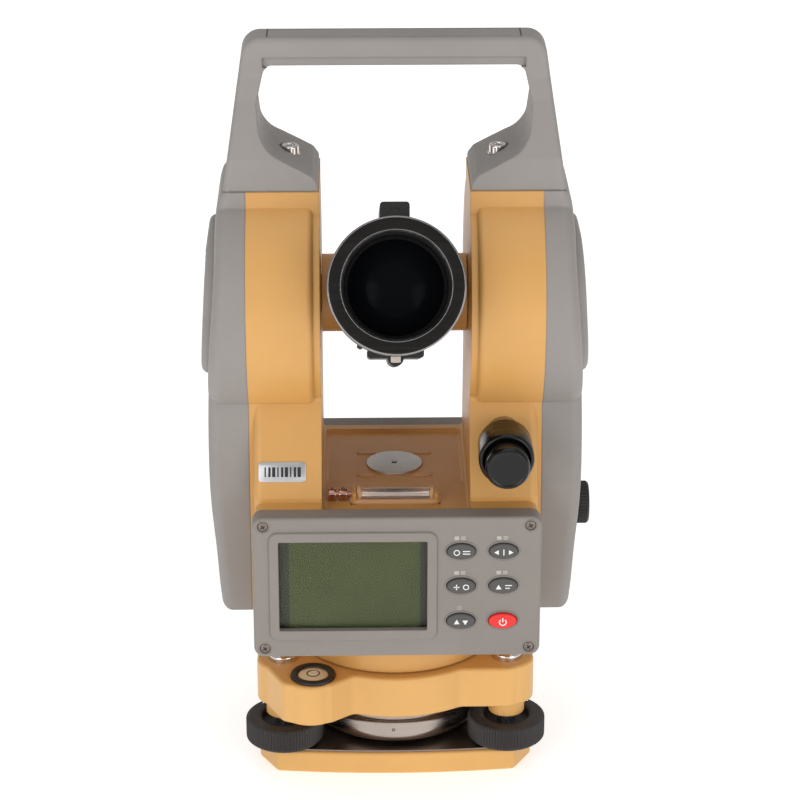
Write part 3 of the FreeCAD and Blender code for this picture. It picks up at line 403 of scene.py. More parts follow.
def lacquer(name, colour):
    """Smooth, dark plastic with a soft shine and faint handling marks."""
    look = Look(name, colour, 0.2, Specular_IOR_Level=0.28, Coat_Weight=0.1, Coat_Roughness=0.1)
    look.bevelled(mm(0.3))
    look.bump(look.noise(1900, 2.0), mm(0.004), 0.3)
    look.shade(look.spread(look.noise(30, 3.0), 0, 1), 0.8, 1.3)
    look.roughen(look.noise(150, 4.0), 0.16, 0.28)
    return look.material


def glass_with_painted_sheen():
    """Dark objective glass with a painted reflection: its colour gets lighter with distance from the Y axis.
    """
    look = Look("glass_with_painted_sheen", srgb(9, 10, 12), 0.16, 0.0, IOR=1.5, Specular_IOR_Level=0.02, Coat_Weight=0.0)
    # painted reflection: base colour up to 1.6 times lighter with distance from the Y axis, full at 24 mm
    look.shade(look.spread(look.radius("y"), 0, 1, 0.0, 0.024), 0.8, 1.6)
    look.roughen(look.noise(200, 3.0), 0.12, 0.22)
    return look.material


def liquid_crystal():
    """Reflective liquid-crystal glass: a slightly uneven olive field with a fine grid of cells."""
    look = Look("liquid_crystal", srgb(88, 94, 68), 0.45, Specular_IOR_Level=0.1)
    pixels = look.add("ShaderNodeTexBrick", offset=0.0)
    pixels.inputs["Scale"].default_value = 1.0
    for word, number in (("Brick Width", mm(0.42)), ("Row Height", mm(0.42)), ("Mortar Size", mm(0.03))):
        pixels.inputs[word].default_value = number
    swap = look.add("ShaderNodeSeparateXYZ")
    look.link(look.where, swap.inputs[0])
    plane = look.add("ShaderNodeCombineXYZ")
    look.link(swap.outputs[0], plane.inputs[0])
    look.link(swap.outputs[2], plane.inputs[1])
    look.link(plane.outputs[0], pixels.inputs["Vector"])
    look.bump(pixels.outputs["Fac"], mm(0.01), 0.2)
    look.shade(look.spread(look.noise(28, 2.0), 0, 1), 0.92, 1.08)
    return look.material


def spirit():
    """Pale level spirit behind glass, with a slight cloudiness."""
    look = Look("spirit", srgb(226, 214, 186), 0.08, Coat_Weight=0.8, Coat_Roughness=0.03)
    look.shade(look.spread(look.noise(160, 3.0), 0, 1), 0.94, 1.04)
    return look.material


def printed(name, colour, roughness=0.5):
    """Screen-printed ink."""
    look = Look(name, colour, roughness)
    look.shade(look.spread(look.noise(1500, 2.0), 0, 1), 0.93, 1.0)
    return look.material


YELLOW = paint("yellow_paint", srgb(204, 153, 85))
# painted light: a lighter copy of the yellow paint for the base and levelling head, which sit in brighter
# light low down
YELLOW_LIT_LOW = paint("yellow_paint_lit_low", srgb(214, 164, 94))
GREY = moulded("grey_shell", srgb(141, 136, 132), edge=1.1)
DISPLAY_GREY = moulded("display_grey", srgb(132, 125, 119), depth=0.02, edge=0.7)
DARK = moulded("dark_shell", srgb(126, 122, 118))
BLACK = moulded("black_plastic", srgb(33, 32, 31), 1800, 0.42, 0.02)
RUBBER = moulded("knob_plastic", srgb(50, 46, 46), 1500, 0.5, 0.03)
ANODISED = turned_metal("black_anodised", srgb(44, 42, 41), "y", 0.36, 1900, 0.006)
MATT_BLACK = moulded("matt_black", srgb(6, 6, 6), 2400, 0.9, 0.01)
SPRING = bright_metal("spring_steel", srgb(150, 136, 126), 0.3)
STEEL = turned_metal("ground_steel", srgb(170, 170, 172), "z", 0.3)
CHROME = bright_metal("chrome", srgb(214, 210, 208), 0.07)
DARK_STEEL = bright_metal("dark_screw", srgb(128, 116, 108), 0.4)
BRONZE = turned_metal("bronze", srgb(190, 140, 84), "x", 0.3)
COPPER = bright_metal("copper_screw", srgb(214, 164, 146), 0.15)
# lens glass, with a painted reflection in its colour
LENS = glass_with_painted_sheen()
CLEAR = clear("clear_glass", (0.95, 0.97, 0.96))
WINDOW = clear("window_acrylic", (0.9, 0.92, 0.84), 0.04, 1.18, 1.0)
CRYSTAL = liquid_crystal()
KEY_GREY = moulded("key_grey", srgb(78, 77, 76), 2200, 0.5, 0.01)
KEY_RED = moulded("key_red", srgb(226, 44, 42), 2200, 0.42, 0.01)
WHITE_INK = printed("white_ink", srgb(226, 226, 222))
# black for real print, and also painted shade in slots, sockets and holes
INK_AND_SHADE_BLACK = printed("black_ink_and_painted_shade", srgb(26, 26, 28))
FOIL = bright_metal("label_foil", srgb(196, 196, 198), 0.34)
BOARD = paint("board_green", srgb(20, 84, 48))
SPIRIT = spirit()
WRAP = printed("cell_wrap", srgb(52, 60, 84), 0.25)
# pale metal for the hood's lip edges: a painted highlight for the light their chamfers catch
LIP_HIGHLIGHT_METAL = bright_metal("lip_highlight_metal", srgb(150, 148, 148), 0.22)
BOWL = turned_metal("polished_bowl", srgb(176, 168, 162), "z", 0.2, 1500, 0.004)
DISC = bright_metal("satin_disc", srgb(206, 202, 198), 0.42)
GLOSS_BLACK = lacquer("gloss_black", srgb(9, 9, 9))
SILVERED = bright_metal("silvered_tube", srgb(226, 200, 186), 0.16)
FROSTED = moulded("frosted_window", srgb(196, 186, 176), 1800, 0.4, 0.01)
PALE_INK = printed("pale_ink", srgb(176, 170, 164))
# painted shadow of the display window's edges on the liquid-crystal glass
WINDOW_SHADOW_INK = printed("crystal_painted_shadow", srgb(56, 58, 46), 0.4)
SLEEVE = paint("level_sleeve", srgb(206, 158, 110))

NODE_LOOKS = {
    YELLOW: ["alidade_frame", "plate_level_holder", "telescope_body"],
    YELLOW_LIT_LOW: ["base_plate", "tribrach_body"],
    GREY: ["left_cover", "right_cover", "battery_case", "handle", "handle_strip"],
    DARK: ["rear_cover"],
    DISPLAY_GREY: ["display_housing"],
    SPRING: ["spring_plate"],
    BOWL: ["centre_boss"],
    DISC: ["centre_mark"],
    CHROME: ["footscrew_caps", "handle_screws", "sleeve_set_screws"],
    STEEL: ["axis_sleeve", "spindle", "vertical_drive_body", "horizontal_drive_body", "eyepiece_tube"]
    + [f"footscrew_stem_{name}" for name in FEET],
    RUBBER: [f"footscrew_knob_{name}" for name in FEET],
    BLACK: [f"{way}_{kind}_knob" for way in ("vertical", "horizontal") for kind in ("clamp", "tangent")]
    + ["plummet_eyepiece", "top_sight", "bottom_sight"]
    + ["focus_ring", "eyepiece", "circular_level_ring"],
    ANODISED: ["objective_hood"],
    LENS: ["objective_lens"],
    MATT_BLACK: ["plummet_tube"],
    CLEAR: ["horizontal_circle", "vertical_circle", "plate_level_vial", "circular_level_vial"],
    WINDOW: ["display_window"],
    CRYSTAL: ["display_panel"],
    BOARD: ["display_board"],
    DARK_STEEL: ["display_screws"],
    FOIL: ["serial_plate"],
    COPPER: ["plate_level_screw"],
    BRONZE: ["trunnion_bushes"],
    WRAP: ["battery_cells"],
    KEY_GREY: [f"key_{i}" for i in range(1, 6)],
    KEY_RED: ["key_6"],
}


def dress_nodes():
    """Gives every carried-over CAD node its material."""
    for material, names in NODE_LOOKS.items():
        for name in names:
            mesh = NODES[name].data
            mesh.materials.clear()
            mesh.materials.append(material)


# ---------------------------------------------------------------- base and levelling head
def foot_wheels():
    """Ribbed wheels of the foot screws, and the slotted chrome caps over the screws' upper ends."""
    rim = [(13.0, WHEEL_LOW), (15.6, WHEEL_LOW), (WHEEL_R, 13.2), (WHEEL_R, 22.2), (16.1, WHEEL_HIGH)]
    dish = [(11.4, WHEEL_HIGH), (10.4, 22.8)]
    bore, floor = 4.1, 20.1
    profile = [(bore, WHEEL_LOW)] + soften(rim + dish, 0.6) + [(10.0, floor), (bore, floor)]
    ribs, rib_band = 80, (12.6, 22.9)
    cap = [(0, HEAD_TOP)] + soften([(7.0, HEAD_TOP), (7.0, 54.7), (6.1, 55.7), (0, 55.85)], 0.4)
    slot_z, slot_heading = 55.72, 165
    for name in FEET:
        at = foot_place(name)
        wheel = lathe(profile, 6 * ribs, ribs=ribs, depth=0.6, band=rib_band, closed=True)
        cad_knob = f"footscrew_knob_{name}"
        piece(f"wheel_{name}", wheel, RUBBER, f"footscrew_{name}", at, [cad_knob], 50)
        instead = ["footscrew_caps"] if name == "left" else []
        piece(f"cap_{name}", lathe(cap, 64), CHROME, "tribrach", at, instead)
        # painted shade: each cap's slot is a thin black bar laid on top, not cut
        slot = bar(11.6, 1.1, 0.12, 0.3)
        turn = Matrix.Rotation(math.radians(FEET[name] - slot_heading), 4, "Z")
        piece(f"cap_slot_{name}", slot, INK_AND_SHADE_BLACK, "tribrach", at @ shift(z=slot_z) @ turn)


def turned_boss():
    """Bowl under the levelling head, with its row of small pin holes."""
    top, neck, bore = 33.4, 39.1, 14.2
    bowl = [(43.0, top), (43.0, 30.2), (42.0, 27.2), (39.3, 24.2), (neck, 17.0), (38.2, 14.6), (36.6, 13.3)]
    bowl += [(33.6, 12.9), (22.2, 12.8), (20.2, 13.8), (20.2, 27.4)]
    outline = [(bore, top)] + soften(bowl, 1.5) + [(bore, 27.6)]
    shape = lathe(outline, 160, closed=True)
    piece("turned_boss", shape, BOWL, "tribrach", None, ["centre_boss"], 50)
    holes, first_heading, hole_z = 6, 268.5, 20.6
    for k in range(holes):
        turn = math.radians(first_heading + 360 / holes * k)
        tip = Vector((math.cos(turn), math.sin(turn), 0))
        at = shift(neck * tip.x, neck * tip.y, hole_z) @ tip.to_track_quat("Z", "Y").to_matrix().to_4x4()
        # painted shade: each pin hole is a small black disc set into the bowl
        ring = soften([(0, -0.6), (0.75, -0.6), (0.75, 0.14), (0.55, 0.2), (0.45, 0.1), (0, 0.05)], 0.08)
        piece(f"pin_hole_{k + 1}", lathe(ring, 20), INK_AND_SHADE_BLACK, "tribrach", at)


def round_level():
    """Circular level: ring, domed vial, etched circle and bubble."""
    x, y = ROUND_LEVEL
    at = shift(x, y, ROUND_LEVEL_DROP)
    foot, brim, dome = 48, 56.6, 55.9
    ring = [(7.0, foot), (9.85, foot), (9.85, 56.0), (9.2, brim), (7.6, brim), (6.7, dome), (6.7, foot)]
    shape = lathe(soften(ring, 0.35), 96, closed=True)
    piece("level_ring", shape, BLACK, "tribrach", at, ["circular_level_ring"])
    pool = soften([(0, 48.2), (6.65, 48.2), (6.65, 55.5), (4.4, 55.95), (0, 56.15)], 0.2)
    piece("level_spirit", lathe(pool, 64), SPIRIT, "tribrach", at, ["circular_level_vial"])
    etched = [(2.5, dome), (2.95, dome), (2.95, 56.17), (2.5, 56.17)]
    piece("level_circle", lathe(etched, 64, closed=True), INK_AND_SHADE_BLACK, "tribrach", at)
    bubble = [(1.5, dome), (2.0, dome), (2.0, 56.15), (1.75, 56.24), (1.5, 56.15)]
    seat = shift(x + 0.3, y + 0.4, ROUND_LEVEL_DROP)
    piece("level_bubble", lathe(bubble, 48, closed=True), WHITE_INK, "tribrach", seat)


def sleeve_screws():
    """Slotted head of the small clamp screw in each foot screw sleeve."""
    screw_z, root, crown = 30.1, 5.5, 9.8
    for name in FEET:
        side = "-x" if name == "left" else "+x"
        head = soften([(1.7, root), (1.7, 9.3), (1.3, 9.75), (0, crown)], 0.25)
        at = foot_place(name) @ shift(z=screw_z) @ facing(side)
        slot = bar(3.0, 0.5, 0.1, 0.1)
        screw = joined((lathe([(0, root)] + head, 32), HERE), (slot, shift(z=crown - 0.06)))
        instead = ["sleeve_set_screws"] if name == "left" else []
        piece(f"sleeve_screw_{name}", screw, CHROME, "tribrach", at, instead)


# ---------------------------------------------------------------- telescope
def objective():
    """Hood with its grooved lining and pale lip edges that carry a painted highlight, the domed front glass
    and the ring that holds it.
    """
    at = ON_TELESCOPE @ facing("-y")

    def ring(name, outline, steps, material, slot, instead=()):
        piece(name, lathe(outline, steps, closed=True), material, "telescope", at, instead)

    mouth = [(HOOD_R, 41.0), (HOOD_R, 73.3), (27.7, HOOD_TIP), (23.1, HOOD_TIP), (21.9, 72.6)]
    hood = [(24.4, 40.2), (HOOD_R, 40.2)] + soften(mouth, 0.25)[1:]
    hood += [(HOOD_BORE, 72.5), (HOOD_BORE, 50.4), (24.4, 50.4)]
    ring("hood", hood, 192, ANODISED, "black_paint", ["objective_hood"])
    # pale lip rings: painted highlight on the chamfered edges
    inner = [(23.0, 74.02), (22.75, 74.02), (22.0, 73.1), (22.0, 72.8), (22.9, 73.7)]
    outer = [(28.45, 73.0), (28.45, 73.4), (27.9, 73.98), (27.75, 73.95), (28.2, 73.1)]
    edges = joined(*((lathe(outline, 192, closed=True), HERE) for outline in (inner, outer)))
    piece("hood_edges", edges, LIP_HIGHLIGHT_METAL, "telescope", at)
    crest, groove, pitch = 21.6, 21.95, 0.8
    grooves = [(22.3, 50.5), (22.3, 72.5), (crest, 72.5)]
    for k in range(26):
        grooves += [(crest, 72.1 - pitch * k), (groove, 71.7 - pitch * k)]
    ring("hood_lining", grooves + [(crest, 50.5)], 128, MATT_BLACK, "black_paint")
    curve, edge, peak, steps = 53.4, 21.4, 54.6, 14
    reaches = [edge * k / steps for k in range(steps, -1, -1)]
    dome = [(reach, peak - curve + math.sqrt(curve**2 - reach**2)) for reach in reaches]
    glass = [(0, 46.3), (21.8, 46.3), (21.8, 49.6)] + dome
    piece("front_glass", lathe(glass, 160), LENS, "telescope", at, ["objective_lens"])
    holder = soften([(21.5, 50.3), (21.5, 52.3), (20.9, 52.3), (20.1, 51.2), (20.1, 50.7)], 0.2)
    ring("glass_ring", holder, 128, MATT_BLACK, "black_paint")


def ribbed_ring(name, profile, ribs, depth, band, body, instead):
    """A focusing ring about the sight line, behind the telescope."""
    at = ON_TELESCOPE @ facing("+y")
    shape = lathe(profile, ribs * 6, ribs=ribs, depth=depth, band=band, closed=profile[0][0] > 0)
    piece(name, shape, BLACK, body, at, instead, 50)


def eyepieces():
    """Focusing ring, and the eyepiece with its glass."""
    near, far = 44.5, 58.0
    ring = soften([(19.0, near), (20.5, 45.6), (20.5, 57.0), (19.4, far), (13.6, far)], 0.5)
    ribbed_ring("focusing_ring", [(13.6, near)] + ring, 60, 0.7, (45.8, 56.8), "focus_ring", ["focus_ring"])
    eye = [(14.0, 62.5), (14.6, 63.2), (14.6, 69.4), (13.6, 71.6), (12.2, 74.0), (7.4, 74.0), (6.1, 72.8)]
    eye = [(0, 50.2), (8.9, 50.2), (8.9, 62.5)] + soften(eye, 0.5) + [(0, 72.4)]
    ribbed_ring("eyepiece_cup", eye, 48, 0.5, (63.4, 69.2), "eyepiece", ["eyepiece"])
    glass = [(0, 72.2), (5.9, 72.2), (5.9, 72.7), (4.0, 73.1), (2.0, 73.3), (0, 73.35)]
    at = ON_TELESCOPE @ facing("+y")
    piece("eye_glass", lathe(glass, 48), LENS, "eyepiece", at)


def sight_details():
    """Pale windows in the lower sight's ends, the upper sight's core and two small tabs on the barrel."""
    along = ON_TELESCOPE @ facing("-y")
    front, back, low_sight = 36.0, -26.3, -28.6
    window = joined(*((bar(4.2, 4.6, 0.3, 0.5), shift(0, low_sight, end)) for end in (front, back)))
    piece("sight_window", window, FROSTED, "telescope", along)
    core = soften([(0, back), (2.55, back), (2.55, 36.2), (0, 36.2)], 0.15)
    above = ON_TELESCOPE @ shift(z=SIGHT_HEIGHT) @ facing("-y")
    piece("sight_core", lathe(core, 48), BLACK, "telescope", above)
    barrel_r = 26.4
    for name, degrees in (("high", 19), ("low", 148)):
        tab = slab([(x, y + barrel_r) for x, y in ellipse(1.4, 3.1, 24, 3.5)], 35.0, 39.6, rim=0.4)
        place = along @ Matrix.Rotation(math.radians(degrees), 4, "Z")
        piece(f"barrel_tab_{name}", tab, BLACK, "telescope", place)


# ---------------------------------------------------------------- knobs
def drive_knobs():
    """The two coaxial drives: a clamp collar, and the cap of the tangent screw in front of it."""
    drives = (
        ("vertical", 46, 163.7, "-y", 48.2, 27.0),
        ("horizontal", -38, 98, "+y", 54.4, 30.0),
    )
    for name, x, z, way, face, inside in drives:
        at = shift(x, 0, z) @ facing(way)
        near = face + 0.3
        collar = [(5.1, near), (10.6, near), (11.5, near + 0.8), (11.5, near + 11.4), (11.7, near + 11.8)]
        collar += [(11.7, near + 17.2), (10.9, near + 18.3), (9.9, near + 18.3), (9.4, near + 17.2)]
        collar += [(5.1, near + 17.2)]
        shape = lathe(soften(collar, 0.45), 96, closed=True)
        clamp_knob = f"{name}_clamp_knob"
        piece(f"{name}_collar", shape, GLOSS_BLACK, f"{name}_clamp", at, [clamp_knob])
        tip = near + 17.6
        cap = [(8.6, tip), (9.2, tip + 0.6), (9.2, tip + 6.4), (9.4, tip + 6.8), (9.4, tip + 8.6)]
        cap += [(8.4, tip + 10.2), (7.6, tip + 10.2), (7.2, tip + 9.9), (0, tip + 9.9)]
        root, recess = inside + 4.2, near + 18.3
        screw = [(0, root), (2.4, root), (2.4, recess), (5.6, recess), (5.6, tip)] + soften(cap, 0.5)
        shape = lathe(screw, 96)
        tangent_knob = f"{name}_tangent_knob"
        piece(f"{name}_cap", shape, GLOSS_BLACK, f"{name}_tangent", at, [tangent_knob])


def plummet_eye():
    """Ribbed focusing eyepiece of the optical plummet and its glass."""
    at = shift(z=PLUMMET_Z) @ facing("+x")
    cup = [(6.0, 80.3), (8.9, 80.3), (9.5, 80.9), (9.5, 85.4), (8.6, 86.5), (6.6, 86.5), (5.2, 85.2)]
    profile = [(0, 61.1), (5.95, 61.1), (5.95, 80.3)] + soften(cup, 0.35)[1:] + [(0, 85.0)]
    shape = lathe(profile, 240, ribs=40, depth=0.45, band=(80.9, 85.4))
    piece("plummet_cup", shape, BLACK, "plummet_eyepiece", at, ["plummet_eyepiece"], 50)
    glass = [(0, 84.8), (5.0, 84.8), (5.0, 85.3), (3.2, 85.7), (0, 85.9)]
    piece("plummet_glass", lathe(glass, 40), LENS, "plummet_eyepiece", at)


# ---------------------------------------------------------------- display
def arc(radius, width, height, start, end, steps=32):
    """A raised arc, in degrees from +X, lying on z = 0. A whole turn closes into a ring."""
    maker = bmesh.new()
    rows = []
    whole = end - start == 360
    for k in range(steps if whole else steps + 1):
        turn = math.radians(start + (end - start) * k / steps)
        spots = [(radius - width / 2, 0), (radius + width / 2, 0), (radius + width / 2, height)]
        spots.append((radius - width / 2, height))
        rows.append([maker.verts.new(mm(r * math.cos(turn), r * math.sin(turn), h)) for r, h in spots])
    for one, two in zip(rows, rows[1:] + rows[:1] if whole else rows[1:]):
        for k in range(4):
            maker.faces.new((one[k], one[(k + 1) % 4], two[(k + 1) % 4], two[k]))
    if not whole:
        maker.faces.new(rows[0])
        maker.faces.new(rows[-1])
    return maker


def key_marks():
    """Plain pictograms for the six keys, each a list of (shape, place)."""
    thick, line = 0.1, 0.45

    def triangle(size):
        return slab([(-size, -size * 0.8), (size, -size * 0.8), (0, size)], 0, thick)

    def circle(radius):
        return arc(radius, 0.42, thick, 0, 360)

    def stroke(width, x=0.0, y=0.0):
        return bar(width, line, thick), shift(x, y)

    def upright(height, x=0.0):
        return bar(line, height, thick), shift(x)

    def pointing(size, x, turn, y=0.0):
        return triangle(size), shift(x, y) @ Matrix.Rotation(turn, 4, "Z")

    quarter = math.pi / 2
    return [
        [(circle(1.15), shift(-2)), stroke(3.2, 2.1, 0.6), stroke(3.2, 2.1, -0.6)],
        [pointing(1.1, -3, quarter), upright(2.8), pointing(1.1, 3, -quarter)],
        [stroke(2.6, -2), upright(2.6, -2), (circle(1.1), shift(2))],
        [pointing(1.2, -2, 0, -0.1), stroke(3.0, 2.2, 0.7), stroke(2.0, 1.8, -0.6)],
        [pointing(1.2, -1.8, 0, 0.1), pointing(1.2, 1.8, math.pi, -0.1)],
        [(arc(1.45, 0.5, thick, 130, 410), shift(0, -0.1)), (bar(0.5, 1.9, thick), shift(0, 0.9))],
    ]


def keys():
    """Six domed oval keys with plain white marks, and a small pale mark above each grey one."""
    red = len(KEYS)
    for i, ((x, z), marks) in enumerate(zip(KEYS, key_marks()), start=1):
        at = shift(x, 0, z) @ facing("-y")
        material, finish = (KEY_RED, "key_red") if i == red else (KEY_GREY, "key_grey")
        cap = slab(ellipse(6.05, 3.55, 72), 68.5, 72.35, crown=0.5, rim=0.9, steps=6)
        flange = slab(ellipse(7.1, 4.6, 48), 67.5, 68.6, rim=0.2)
        shape = joined((cap, HERE), (flange, HERE))
        piece(f"key_cap_{i}", shape, material, f"key_{i}", at, [f"key_{i}"], 50)
        on_cap = shift(z=72.83)
        raised = [(maker, on_cap @ place) for maker, place in marks]
        piece(f"key_mark_{i}", joined(*raised), WHITE_INK, f"key_{i}", at)
        if i == red:
            continue
        ink = 0.06
        label = [(arc(0.75, 0.3, ink, 0, 360), shift())]
        if i < red - 1:
            label = [(bar(2.0, 1.7, ink, 0.5), shift(-1.35))]
            label += [(bar(2.0, 0.35, ink), shift(1.4, y)) for y in (0.6, 0, -0.6)]
        above = shift(x - 0.6, 0, z + 5.9) @ facing("-y") @ shift(z=DISPLAY_FACE)
        piece(f"key_label_{i}", joined(*label), PALE_INK, "alidade", above)


def key_rings():
    """A thin moulded collar round each key."""
    steps = 72
    section = [(6.35, 3.85, 70.4), (6.35, 3.85, 71.22), (6.75, 4.25, 71.25), (7.2, 4.7, DISPLAY_FACE)]
    rings = []
    for x, z in KEYS:
        maker = bmesh.new()
        made = []
        for wide, tall, height in section:
            made.append([maker.verts.new(mm(a, b, height)) for a, b in ellipse(wide, tall, steps)])
        for one, two in zip(made, made[1:] + made[:1]):
            for k in range(steps):
                maker.faces.new((one[k], one[(k + 1) % steps], two[(k + 1) % steps], two[k]))
        rings.append((maker, shift(x, 0, z) @ facing("-y")))
    piece("key_collars", joined(*rings), DISPLAY_GREY, "alidade", None)


def display_fasteners():
    """Cross-headed screws at the housing's corners, each in a countersink of the housing's own colour."""
    heads, seats, crosses = [], [], []
    root, slot_turn = 69.9, 0.6
    for x in (-56.3, 56.3):
        for z in (78.4, 135.7):
            at = shift(x, 0, z) @ facing("-y")
            dome = soften([(2.1, root), (2.1, 70.75), (1.2, 71.05), (0, 71.1)], 0.25)
            heads.append((lathe([(0, root)] + dome, 40), at))
            rim = [(2.2, 70.3), (2.3, 70.9), (2.9, 71.12), (3.1, 70.97), (2.6, 70.2)]
            seats.append((lathe(rim, 40, closed=True), at))
            # painted shade: the cross recesses are black bars laid over the screw heads
            for turn in (slot_turn, slot_turn + math.pi / 2):
                place = at @ Matrix.Rotation(turn, 4, "Z") @ shift(z=DISPLAY_FACE)
                crosses.append((bar(2.4, 0.5, 0.12, 0.1), place))
    piece("housing_screws", joined(*heads), DARK_STEEL, "alidade", None, ["display_screws"])
    piece("housing_screw_seats", joined(*seats), DISPLAY_GREY, "alidade", None)
    piece("housing_screw_slots", joined(*crosses), INK_AND_SHADE_BLACK, "alidade", None)


def crystal_field():
    """Dark strips at the two ends of the liquid-crystal glass: painted shadow cast there by the window's
    edges.
    """
    tall, ink, middle_z, glass_face = 44, 0.04, 108.1, 67.56
    shade_strips = ((5.5, -48.4), (4.5, 12.2))
    strips = [(bar(wide, tall, ink), shift(x, middle_z, glass_face)) for wide, x in shade_strips]
    piece("crystal_painted_shadows", joined(*strips), WINDOW_SHADOW_INK, "alidade", facing("-y"))


def serial_plate():
    """Foil plate on the sloping front with plain printed bars."""
    slope = math.atan2(18.5, 37.0)
    at = shift(-48.3, -48.9, 151.2) @ Matrix.Rotation(-slope, 4, "X") @ facing("-y")
    blank = slab(ellipse(10.1, 4.3, 64, 9), 0, 0.42, rim=0.15)
    piece("serial_foil", blank, FOIL, "alidade", at, ["serial_plate"])
    first, pitch = -7.2, 1.8
    widths = [0.6 + 0.4 * (k * 7 % 3) for k in range(9)]
    bars = [(bar(wide, 4.2, 0.03), shift(first + pitch * k, 0, 0.4)) for k, wide in enumerate(widths)]
    piece("serial_print", joined(*bars), INK_AND_SHADE_BLACK, "alidade", at)


# ---------------------------------------------------------------- platform and sides
def platform_details():
    """Centre disc with its sunk mark and four faint raised pads round it."""
    disc_r, face, mark_r, mark_floor = 12.35, 133.92, 1.2, 133.3
    disc = [(disc_r, PLATFORM), (disc_r, 133.75), (12.1, face), (1.5, face)]
    disc += [(mark_r, 133.7), (mark_r, mark_floor)]
    disc = [(0, 133.02)] + soften(disc, 0.15) + [(0, mark_floor)]
    piece("centre_disc", lathe(disc, 96), DISC, "alidade", None, ["centre_mark"])
    # painted shade: the sunk mark is filled with black
    dimple = [(0, mark_floor), (mark_r, mark_floor), (1.1, 133.45), (0, 133.4)]
    piece("centre_dimple", lathe(dimple, 32), INK_AND_SHADE_BLACK, "alidade", None)
    across, along = 12.4, 12
    places = [shift(x, y) for x in (-across, across) for y in (-along, along)]
    pads = [(slab(ellipse(4.2, 1.7, 32, 3), 132.9, 133.45, rim=0.3), place) for place in places]
    piece("platform_pads", joined(*pads), SLEEVE, "alidade", None)


def plate_level():
    """Tubular level in a soft frame, with its glass and silvered tube, and its two-lobed adjusting screw."""
    at = shift(0, PLATE_LEVEL_Y, PLATE_LEVEL_Z) @ facing("+x")
    glass = soften([(0, -16.9), (3.0, -16.9), (3.15, -16.4), (3.15, 16.0), (3.0, 16.5), (0, 16.5)], 0.2)
    piece("level_tube", lathe(glass, 64), CLEAR, "alidade", at, ["plate_level_vial"])
    silvered = soften([(0, -16.3), (2.95, -16.3), (2.95, 15.9), (0, 15.9)], 0.3)
    piece("tube_lining", lathe(silvered, 64), SILVERED, "alidade", at)
    plug = soften([(0, 0), (3.22, 0), (3.22, 1.0), (0, 1.0)], 0.1)
    plugs = [(lathe(plug, 48), shift(z=low)) for low in (-17.95, 16.5)]
    piece("tube_plugs", joined(*plugs), SLEEVE, "alidade", at)
    path = [(x - 0.2, y + PLATE_LEVEL_Y) for x, y in ellipse(18.2, 4.5, 96, 6)]
    piece("level_frame", hoop(path, 135.2, 1.5), SLEEVE, "alidade", None)
    sleeve = soften([(3.0, 0), (3.9, 0), (3.9, 1.9), (3.0, 1.9)], 0.3)
    sleeves = [(lathe(sleeve, 48, closed=True), shift(z=low)) for low in (-16.7, 14.5)]
    piece("tube_ends", joined(*sleeves), SLEEVE, "alidade", at)
    root, face = -18.9, 1.75
    nut = soften([(1.35, -face), (2.5, -face), (2.6, -1.2), (2.6, 1.2), (2.5, face), (1.35, face)], 0.3)
    stem = [(0, -9.7), (1.4, -9.7), (1.4, 0), (0, 0)]
    lobes = (-8.4, -3.7)
    screw = [(lathe(nut, 48, closed=True), shift(z=z)) for z in lobes] + [(lathe(stem, 32), shift())]
    capstan = shift(root, PLATE_LEVEL_Y, CAPSTAN_Z) @ facing("+x")
    piece("capstan", joined(*screw), COPPER, "alidade", capstan, ["plate_level_screw"])
    # painted shade: the capstan's pin holes are black plugs on its lobes
    hole = soften([(0, 2.3), (0.85, 2.3), (0.85, 2.68), (0.55, 2.72), (0.5, 2.5), (0, 2.5)], 0.05)
    places = [shift(root + z, PLATE_LEVEL_Y, CAPSTAN_Z) @ facing(way) for z in lobes for way in ("-y", "+z")]
    holes = joined(*((lathe(hole, 20), place) for place in places))
    piece("capstan_holes", holes, INK_AND_SHADE_BLACK, "alidade", None)


def handle_fittings():
    """Socket-head screws with washers in the handle's feet."""
    root, top, shank_r, head_r, socket_z = 262.2, 281.0, 2.35, 3.75, 279.0
    head = [(4.35, HANDLE_SEAT), (4.35, 277.5), (head_r, 277.5), (head_r, 280.5), (3.3, top), (2.15, top)]
    head.append((2.0, 280.6))
    profile = [(0, root), (shank_r, root), (shank_r, HANDLE_SEAT)] + soften(head, 0.2)
    profile += [(1.9, socket_z), (0, socket_z)]
    # painted shade: the floor of each hex socket is black
    floor = [(0, 278.95), (1.85, 278.95), (1.8, 279.1), (0, 279.1)]
    places = [shift(x) for x in (-HANDLE_SCREW_X, HANDLE_SCREW_X)]
    screws = joined(*((lathe(profile, 64), place) for place in places))
    piece("socket_screws", screws, CHROME, "alidade", None, ["handle_screws"])
    floors = joined(*((lathe(floor, 6), place) for place in places))
    piece("socket_floors", floors, INK_AND_SHADE_BLACK, "alidade", None)


def battery_grip():
    """Finger ribs on the battery case."""
    face_x, foot_z, rise, run = 84.4, 165, 6.1, 97
    lean = math.atan2(rise, run)
    ribs = []
    for k in range(6):
        z = 236.5 - 2.6 * k
        x = -(face_x - (z - foot_z) * rise / run) + 0.15
        outline = ellipse(10.5 - 0.4 * abs(k - 2.5), 0.75, 40, 5)
        shape = slab(outline, -0.4, 0.65, rim=0.45, steps=4)
        ribs.append((shape, shift(x, 0, z) @ Matrix.Rotation(lean, 4, "Y") @ facing("-x")))
    piece("battery_ribs", joined(*ribs), GREY, "battery", None)


def all_pieces():
    """Every detailed piece, from the ground up."""
    foot_wheels()
    turned_boss()
    round_level()
    sleeve_screws()
    objective()
    eyepieces()
    sight_details()
    drive_knobs()
    plummet_eye()
    keys()
    key_rings()
    display_fasteners()
    crystal_field()
    serial_plate()
    platform_details()
    plate_level()
    handle_fittings()
    battery_grip()


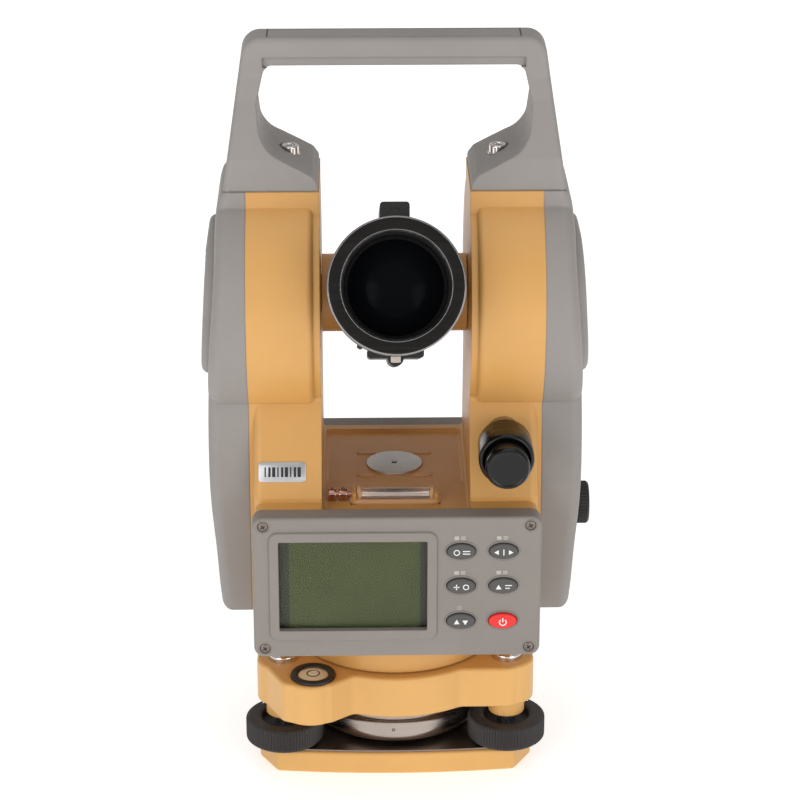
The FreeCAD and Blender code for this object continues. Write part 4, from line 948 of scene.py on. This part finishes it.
def studio():
    """Camera, lights and floor."""
    target = mm(2.55, 0, 163.6)
    distance, azimuth, elevation = 1.2296, math.radians(-1.0), math.radians(22.7)
    level = math.cos(elevation)
    back = Vector((math.sin(azimuth) * level, -math.cos(azimuth) * level, math.sin(elevation)))
    camera = bpy.data.objects.new("camera", bpy.data.cameras.new("camera"))
    camera.data.lens = 126
    camera.data.sensor_width = 36
    camera.location = target + back * distance
    camera.rotation_mode = "QUATERNION"
    camera.rotation_quaternion = (-back).to_track_quat("-Z", "Y")
    bpy.context.scene.collection.objects.link(camera)
    bpy.context.scene.camera = camera

    world = bpy.data.worlds.new("studio")
    world.use_nodes = True
    tree = world.node_tree
    soft = tree.nodes["Background"]
    soft.inputs[0].default_value = (1, 1, 1, 1)
    soft.inputs[1].default_value = 0.5
    white = tree.nodes.new("ShaderNodeBackground")
    white.inputs[0].default_value = (1, 1, 1, 1)
    white.inputs[1].default_value = 1.1
    seen = tree.nodes.new("ShaderNodeMixShader")
    path = tree.nodes.new("ShaderNodeLightPath")
    tree.links.new(path.outputs["Is Camera Ray"], seen.inputs[0])
    tree.links.new(soft.outputs[0], seen.inputs[1])
    tree.links.new(white.outputs[0], seen.inputs[2])
    tree.links.new(seen.outputs[0], tree.nodes["World Output"].inputs[0])
    bpy.context.scene.world = world

    def lamp(name, place, aim, size, power):
        light = bpy.data.objects.new(name, bpy.data.lights.new(name, "AREA"))
        light.data.shape = "RECTANGLE"
        light.data.size, light.data.size_y = size
        light.data.energy = power
        light.location = place
        light.rotation_mode = "QUATERNION"
        light.rotation_quaternion = (Vector(aim) - Vector(place)).to_track_quat("-Z", "Y")
        bpy.context.scene.collection.objects.link(light)

    lamp("key", (-0.9, -1.4, 0.6), (0, 0, 0.14), (0.9, 0.9), 8)
    lamp("fill", (0.9, -1.4, 0.5), (0, 0, 0.14), (0.9, 0.9), 7)
    lamp("top", (0, -0.1, 1.5), (0, 0, 0.2), (1.4, 1.4), 4)

    mesh = bpy.data.meshes.new("floor")
    mesh.from_pydata([(-6, -6, 0), (6, -6, 0), (6, 6, 0), (-6, 6, 0)], [], [(0, 1, 2, 3)])
    floor = bpy.data.objects.new("floor", mesh)
    bpy.context.scene.collection.objects.link(floor)
    table = Look("light_table", (0.9, 0.9, 0.9), 0.7)
    table.shader.inputs["Emission Color"].default_value = (1, 1, 1, 1)
    glow = table.spread(table.radius("z"), 0.5, 0.62, 0.35, 0.9)
    table.link(glow, table.shader.inputs["Emission Strength"])
    mesh.materials.append(table.material)
    bpy.context.scene.view_settings.view_transform = "Standard"


studio()
dress_nodes()
all_pieces()
